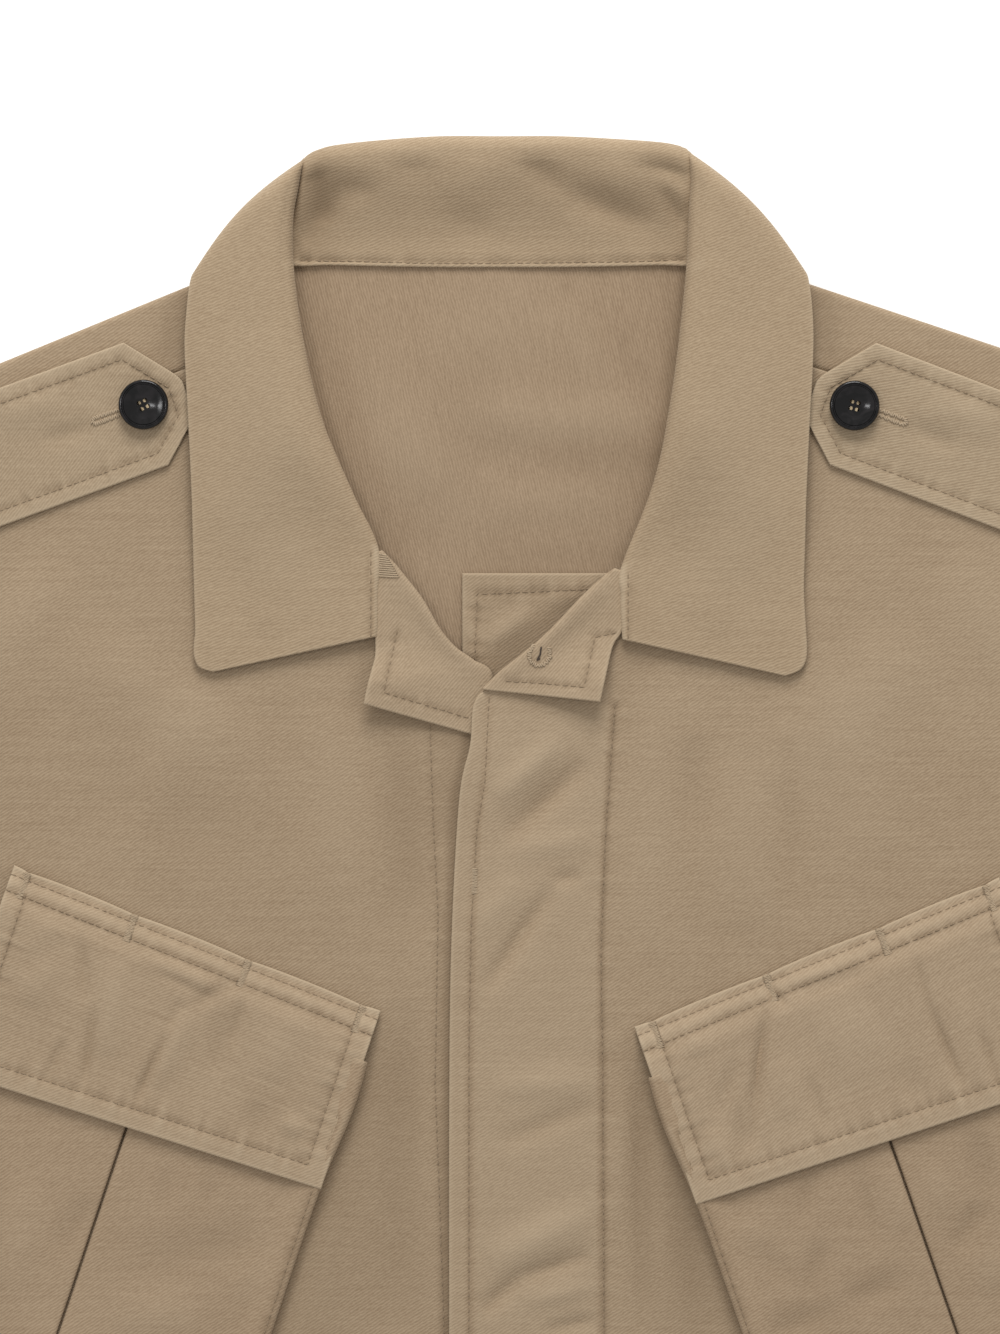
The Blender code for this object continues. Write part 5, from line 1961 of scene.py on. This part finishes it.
UNDERLAY_EDGE = ((609, 573), (462, 573), (462, 720))
LAPEL_STITCH = {Side.RIGHT: ((397, 632), (384, 692), (466, 717)),
                Side.LEFT: ((508, 681), (540, 683), (584, 687), (595, 637), (614, 633))}
GORGE_STITCH = {Side.RIGHT: ((371, 554), (371, 634)), Side.LEFT: ((628, 576), (628, 636))}
GORGE_EDGE = {Side.RIGHT: ((377, 550), (377, 637)), Side.LEFT: ((622, 570), (623, 640))}
# The satin bar: its first x, its last x at the top and at the bottom, its top and low y, its stitches
SATIN_BAR = (379.0, 384.0, 396.0, 554.0, 576.0, 11)
SATIN_SLANT = 1.0
KEYHOLE = ((534, 645), (529, 653), (530, 661), (537, 666), (545, 664), (550, 657), (549, 648))
KEYHOLE_SLIT = ((541, 648), (540, 655), (537, 660), (539, 659))

# Sewn lines and bands of the straps and flaps, in millimetres on the piece
STRAP_STITCH = ((106, -18.1), (2.6, -18.1), (-9.8, -2.5), (-9.8, 7.7), (2.0, 18.1), (106, 18.1))
STRAP_EDGE = ((111, -23.5), (0.0, -23.5), (-15.2, -4.4), (-15.2, 10.2), (0.0, 23.5), (111, 23.5))
STRAP_HOLE = ((8.6, -1.3), (19.4, -1.6), (20.4, -0.5), (19.4, 0.6), (8.6, 0.5))
# The dent beside a strap's button: its first and last place, width and depth
STRAP_DENT = (-7.0, 9.5, 14.0, 11.0, 4.0, 0.5)
FLAP_STITCH = ((7.4, 8.3), (7.4, 59.8), (70, 64.2), (134.6, 68.8), (134.6, 8.3))
FLAP_EDGE = ((0, 0), (0, 66.5), (142, 76.5), (142, 0))
FLAP_TOP = ((0, 0), (142, 0))
FLAP_BAND = (((1, 2.5), (141, 2.5)), ((1, 8.3), (141, 8.3)))
FLAP_TACK_ENDS = (-0.6, 9.4)
POCKET_STITCH = ((2.9, 40), (2.9, 186), (139.1, 186), (139.1, 40))
POCKET_EDGE = ((0, 40), (0, 190), (142, 190), (142, 40))
# The hems: height of the stitches over the edge, and how far from the middle they start and from
# the side they end, in grid readings; and the cuffs' stitches, as a share down the sleeve
HEM_FOLD, HEM_START, HEM_END = 55.0, 30.0, 6.0
CUFF_STITCH = 0.955

# Painted shade on the cloth where shade falls beside and under what lies on it and on the collar's stand,
# and a broad darker tone on the right chest: width, tone and softness, then its lines
BACK_SHADES = (
    ((4.0, -0.13, 12.0), (
        ((550, 459), (668, 455)), ((615, 330), (645, 385)), ((500, 558), (645, 552)),
        ((318, 280), (328, 350), (345, 420), (365, 480), (395, 545)),
        ((682, 280), (676, 360), (666, 440), (655, 500)))),
    ((1.2, -0.35, 5.0), (
        ((295, 266), (302, 324), (321, 410), (341, 467), (356, 498), (377, 550)),
        ((686, 266), (676, 332), (666, 410), (650, 498), (624, 560)))),
    ((4.0, -0.4, 16.0), (((184, 290), (172, 350)), ((816, 290), (828, 350)))),
)
UNDERLAY_SHADES = (((2.5, -0.3, 10.0), (((500, 660), (545, 622), (575, 600)),)),)
FRONT_SHADES = {
    Side.RIGHT: (
        ((1.5, -0.5, 5.0), (((468, 735), (455, 800), (448, 950), (446, 1120), (446, 2300)),)),
        ((70.0, -0.05, 60.0), (((40, 700), (300, 760)),)),
        ((2.0, -0.2, 12.0), (((184, 450), (191, 530)), ((368, 650), (358, 702), (430, 728), (466, 745)),
                             ((447, 745), (445, 830)))),
        ((9.0, -0.14, 28.0), (((362, 1080), (325, 1334)),)),
    ),
    Side.LEFT: (
        ((2.0, -0.2, 12.0), (((816, 450), (809, 530)), ((614, 648), (642, 664)), ((508, 700),
        (600, 706)))),
        ((9.0, -0.14, 28.0), (((652, 1080), (692, 1334)),)),
    ),
}
COLLAR_SHADES = (
    ((14.0, -0.11, 18.0), (((338, 205), (500, 200), (656, 203)),)),
    ((6.0, -0.2, 16.0), (((318, 165), (310, 255)),)),
)

# How the cloth takes each sewn line: groove, pucker and reach in millimetres, and the ripple's seed; groove
# and pucker also set its painted shade and rubbed paleness
TAKES = {
    "underlay": (0.3, 0.20, 3.6, 3), "under": (0.16, 0.10, 3.0, 5), "fly_edge": (0.28, 0.10, 3.2, 6),
    "fly_width": (0.5, 0.13, 5.0, 7), "lapel": (0.28, 0.12, 3.0, 9), "neck": (0.55, 0.2, 2.2, 11),
    "gorge": (0.35, 0.14, 2.6, 12), "strap": (0.34, 0.16, 3.8, 13), "pocket": (0.6, 0.12, 2.5, 17),
    "flap": (0.34, 0.19, 5.6, 19), "flap_band": (0.42, 0.14, 2.6, 23),
}
# Each turned-in edge: width and rise in millimetres, and how much paler it is painted, as rubbed wear and
# painted highlight on the raised cloth
EDGES = {
    "underlay": (5.2, 0.25, 0.08), "fly": (6.2, 0.35, 0.16), "fly_middle": (22.0, 0.1, 0.18),
    "neck": (1.9, 0.45, 0.22), "gorge": (1.2, 0.5, 0.62), "strap": (5.4, 0.3, 0.14),
    "pocket": (2.6, 0.3, 0.2), "flap": (7.2, 0.3, 0.14), "flap_top": (8.3, 0.2, 0.19),
}
SEWN_RUB = 0.45          # rims of straps and flaps are rubbed more than others
FINE, FINER = 1.0, 0.5   # spacing of paths that follow the cloth closely, in readings

# Each piece's cut: width and length of the cloth it is cut from, and the area it keeps
CUTS = {
    "back": (0.560, 0.742, 0.392), "fly_underlay": (0.053, 0.615, 0.0325),
    "collar": (0.440, 0.095, 0.0384), "front_right": (0.290, 0.708, 0.1825),
    "front_left": (0.299, 0.707, 0.1892), "facing": (0.045, 0.067, 0.0016),
    "sleeve": (0.480, 0.640, 0.118), "shoulder_strap": (0.132, 0.047, 0.0059),
    "pocket": (0.219, 0.172, 0.0376), "pocket_flap": (0.142, 0.0775, 0.0104),
}


def shades(table: Sequence[tuple[Spot, Sequence[Sequence[Point]]]]) -> tuple[Band, ...]:
    """Bands of painted shade, which don't rise, from their sizes and lines."""
    return tuple(Band(line, width, 0.0, tone, soft)
                 for (width, tone, soft), lines in table for line in lines)


def sewn(kind: str, line: Sequence[Point], more: int = 0) -> Seam:
    """A sewn line, taken as its kind is; more changes the ripple's seed."""
    groove, pucker, reach, seed = TAKES[kind]
    return Seam(tuple(line), groove, pucker, reach, seed + more)


def turned_in(kind: str, line: Sequence[Point]) -> Band:
    """A turned-in edge of a kind."""
    return Band(tuple(line), *EDGES[kind])


class Jacket:
    """The whole shirt jacket: builds its pieces in order and sews them."""

    def __init__(self, finishes: Finishes) -> None:
        """Keep the finishes and start with nothing sewn."""
        self.finishes = finishes
        self.stitcher = Stitcher()
        self.pieces: dict[str, Piece] = {}

    def add(self, make: type[Cloth], name: str, finish: str, rests_on: Sequence[str], cut: str = "",
            lining: str = "inside", **more: object) -> Cloth:
        """Build a piece of cloth, named after the solid that it stands for, and keep it.

        Args:
            make: the kind of piece.
            name: the solid's name.
            finish: the outside's finish.
            rests_on: what the piece lies on.
            cut: the cut's name, where it isn't the solid's.
            lining: the finish of the side that faces in.
            more: the piece's other values.
        Returns:
            The piece.
        """
        cloth = self.finishes.cloth
        piece = make(name + "_cloth", cloth[finish], cloth[lining], CUTS[cut or name], (name,),
                     tuple(rests_on), **more)
        self.pieces[piece.name] = piece.build()
        return piece

    def body(self) -> None:
        """The back, the strip behind the fly and the two fronts."""
        self.add(Back, "back", "inside", ["floor"], lining="body",
                 creases=BACK_CREASES + shades(BACK_SHADES))
        edge = turned_in("underlay", UNDERLAY_EDGE)
        self.add(Underlay, "fly_underlay", "underlay", ["back_cloth"], wall=DOUBLE_WALL,
                 creases=(*UNDERLAY_CREASES, edge, *shades(UNDERLAY_SHADES)),
                 seams=(sewn("underlay", UNDERLAY_STITCH),))
        seams = {Side.RIGHT: (sewn("under", UNDER_STITCH),),
                 Side.LEFT: (sewn("fly_edge", FLY_EDGE_STITCH), sewn("fly_width", FLY_WIDTH_STITCH))}
        bands = {Side.RIGHT: (),
                 Side.LEFT: (turned_in("fly", FLY_EDGE), turned_in("fly_middle", FLY_MIDDLE))}
        for side in Side:
            self.add(Front, "front_" + side.word, "body", ["back_cloth"], seams=seams[side], side=side,
                     creases=bands[side] + shades(FRONT_SHADES[side]))

    def throat(self) -> None:
        """The turned-back corners and the collar."""
        for side in Side:
            self.add(Facing, "facing_" + side.word, "facing", ["front_" + side.word + "_cloth"], "facing",
                     wall=DOUBLE_WALL, seams=(sewn("lapel", LAPEL_STITCH[side]),), side=side)
        ridges = (turned_in("neck", NECK_EDGE), *(turned_in("gorge", GORGE_EDGE[side]) for side in Side))
        self.add(Collar, "collar", "collar", ["back_cloth"], lining="collar", wall=DOUBLE_WALL,
                 creases=(*COLLAR_CREASES, *ridges, *shades(COLLAR_SHADES)),
                 seams=(sewn("neck", NECK_STITCH), *(sewn("gorge", GORGE_STITCH[side]) for side in Side)))

    def arms(self) -> None:
        """The sleeves and the shoulder straps."""
        for side in Side:
            sleeve = self.add(Sleeve, "sleeve_" + side.word, "body", ["floor"], "sleeve", side=side)
            cuff = [sleeve.spot(CUFF_STITCH, across) for across in (0.0, 1.0)]
            self.stitcher.sew(Sewing.TOPSTITCH, sleeve.obj, cuff)
            first, last = strap_line(side, STRAP_DENT[:2], STRAP_DENT[2:4])
            dent = Crease(*first, *last, *STRAP_DENT[4:])
            edge = turned_in("strap", strap_line(side, *STRAP_EDGE))
            seam = sewn("strap", strap_line(side, *STRAP_STITCH), side.sign)
            self.add(Strap, "shoulder_strap_" + side.word, "strap_" + side.word,
                     ["front_" + side.word + "_cloth", "back_cloth"], "shoulder_strap", wall=DOUBLE_WALL,
                     creases=(edge, dent, *STRAP_CREASES[side]), seams=(seam,), rub=SEWN_RUB, side=side)

    def chest(self) -> None:
        """The pockets and their flaps."""
        for side in Side:
            pocket = "pocket_" + side.word
            self.add(Pocket, pocket, "pouch", ["front_" + side.word + "_cloth"], "pocket", side=side,
                     creases=(*POCKET_CREASES[side], turned_in("pocket", pocket_line(side, *POCKET_EDGE))),
                     seams=(sewn("pocket", pocket_line(side, *POCKET_STITCH)),))
            bands = (turned_in("flap", pocket_line(side, *FLAP_EDGE)),
                     turned_in("flap_top", pocket_line(side, *FLAP_TOP)))
            seams = [sewn("flap", pocket_line(side, *FLAP_STITCH), side.sign)]
            seams += [sewn("flap_band", pocket_line(side, *line), k) for k, line in enumerate(FLAP_BAND)]
            self.add(Flap, "pocket_flap_" + side.word, pocket, [pocket + "_cloth"], "pocket_flap",
                     wall=DOUBLE_WALL, creases=bands + FLAP_CREASES[side], seams=tuple(seams), rub=SEWN_RUB,
                     side=side)

    def sew(self) -> None:
        """The stitching of the throat and the fly, and what each side has."""
        top, piece, sew = Sewing.TOPSTITCH, self.pieces, self.stitcher.sew
        for name, line in (("collar_cloth", NECK_STITCH), ("front_left_cloth", FLY_EDGE_STITCH),
                           ("front_left_cloth", FLY_WIDTH_STITCH), ("front_right_cloth", UNDER_STITCH),
                           ("fly_underlay_cloth", UNDERLAY_STITCH)):
            sew(top, piece[name], line)
        sew(Sewing.BARTACK, piece["front_left_cloth"], FLY_BARTACK, FINER)
        first, top_end, low_end, start, end, count = SATIN_BAR
        for share in np.linspace(0.0, 1.0, count):
            y = mix(start, end, share)
            stitch = ((first, y), (mix(top_end, low_end, share), y + SATIN_SLANT))
            sew(Sewing.SATIN, piece["facing_right_cloth"], stitch, FINE)
        sew(Sewing.BUTTONHOLE, piece["facing_left_cloth"], KEYHOLE, FINER)
        # painted shade inside the keyhole's slit
        sew(Sewing.SLIT, piece["facing_left_cloth"], KEYHOLE_SLIT, FINER)
        for side in Side:
            self.sew_side(side)
        for kind in Sewing:
            piece[kind.piece] = self.stitcher.build(kind, self.finishes.thread[kind.thread])

    def sew_side(self, side: Side) -> None:
        """The stitching of one side's lapel, collar end, strap, flap, pocket and hem."""
        top, sew = Sewing.TOPSTITCH, self.stitcher.sew
        front, facing, strap, pocket, flap = (
            self.pieces[name + "_" + side.word + "_cloth"]
            for name in ("front", "facing", "shoulder_strap", "pocket", "pocket_flap"))
        sew(top, facing, LAPEL_STITCH[side])
        sew(top, self.pieces["collar_cloth"], GORGE_STITCH[side])
        sew(top, strap, strap_line(side, *STRAP_STITCH))
        sew(Sewing.BUTTONHOLE, strap, strap_line(side, *STRAP_HOLE), FINER)
        for line in (FLAP_STITCH, *FLAP_BAND):
            sew(top, flap, pocket_line(side, *line))
        for tack in FLAP_TACKS:
            ends = pocket_line(side, *((tack / MM, down) for down in FLAP_TACK_ENDS))
            sew(Sewing.BARTACK, flap, ends, FINER)
        sew(top, pocket, pocket_line(side, *POCKET_STITCH))
        offs = (HEM_START, HEM_HALF / GRID - HEM_END)
        sew(top, front, [(MIDDLE_X + side.sign * off, HEM_Y - HEM_FOLD) for off in offs])

    def fasten(self) -> None:
        """The two buttons of the shoulder straps."""
        thread = self.finishes.thread["cotton_thread_buttons"]
        for side in Side:
            for piece in Button(side, self.finishes.button, thread).build():
                self.pieces[piece.name] = piece


def main() -> None:
    """Build the jacket, light it and aim the camera."""
    logging.basicConfig(level=logging.INFO, format="%(name)s %(message)s")
    studio = Studio()
    studio.floor()
    jacket = Jacket(Finishes())
    for step in (jacket.body, jacket.throat, jacket.arms, jacket.chest, jacket.sew, jacket.fasten):
        LOG.info("step %s", step.__name__)
        step()
    studio.light()
    studio.camera()


if __name__ == "__main__":
    main()
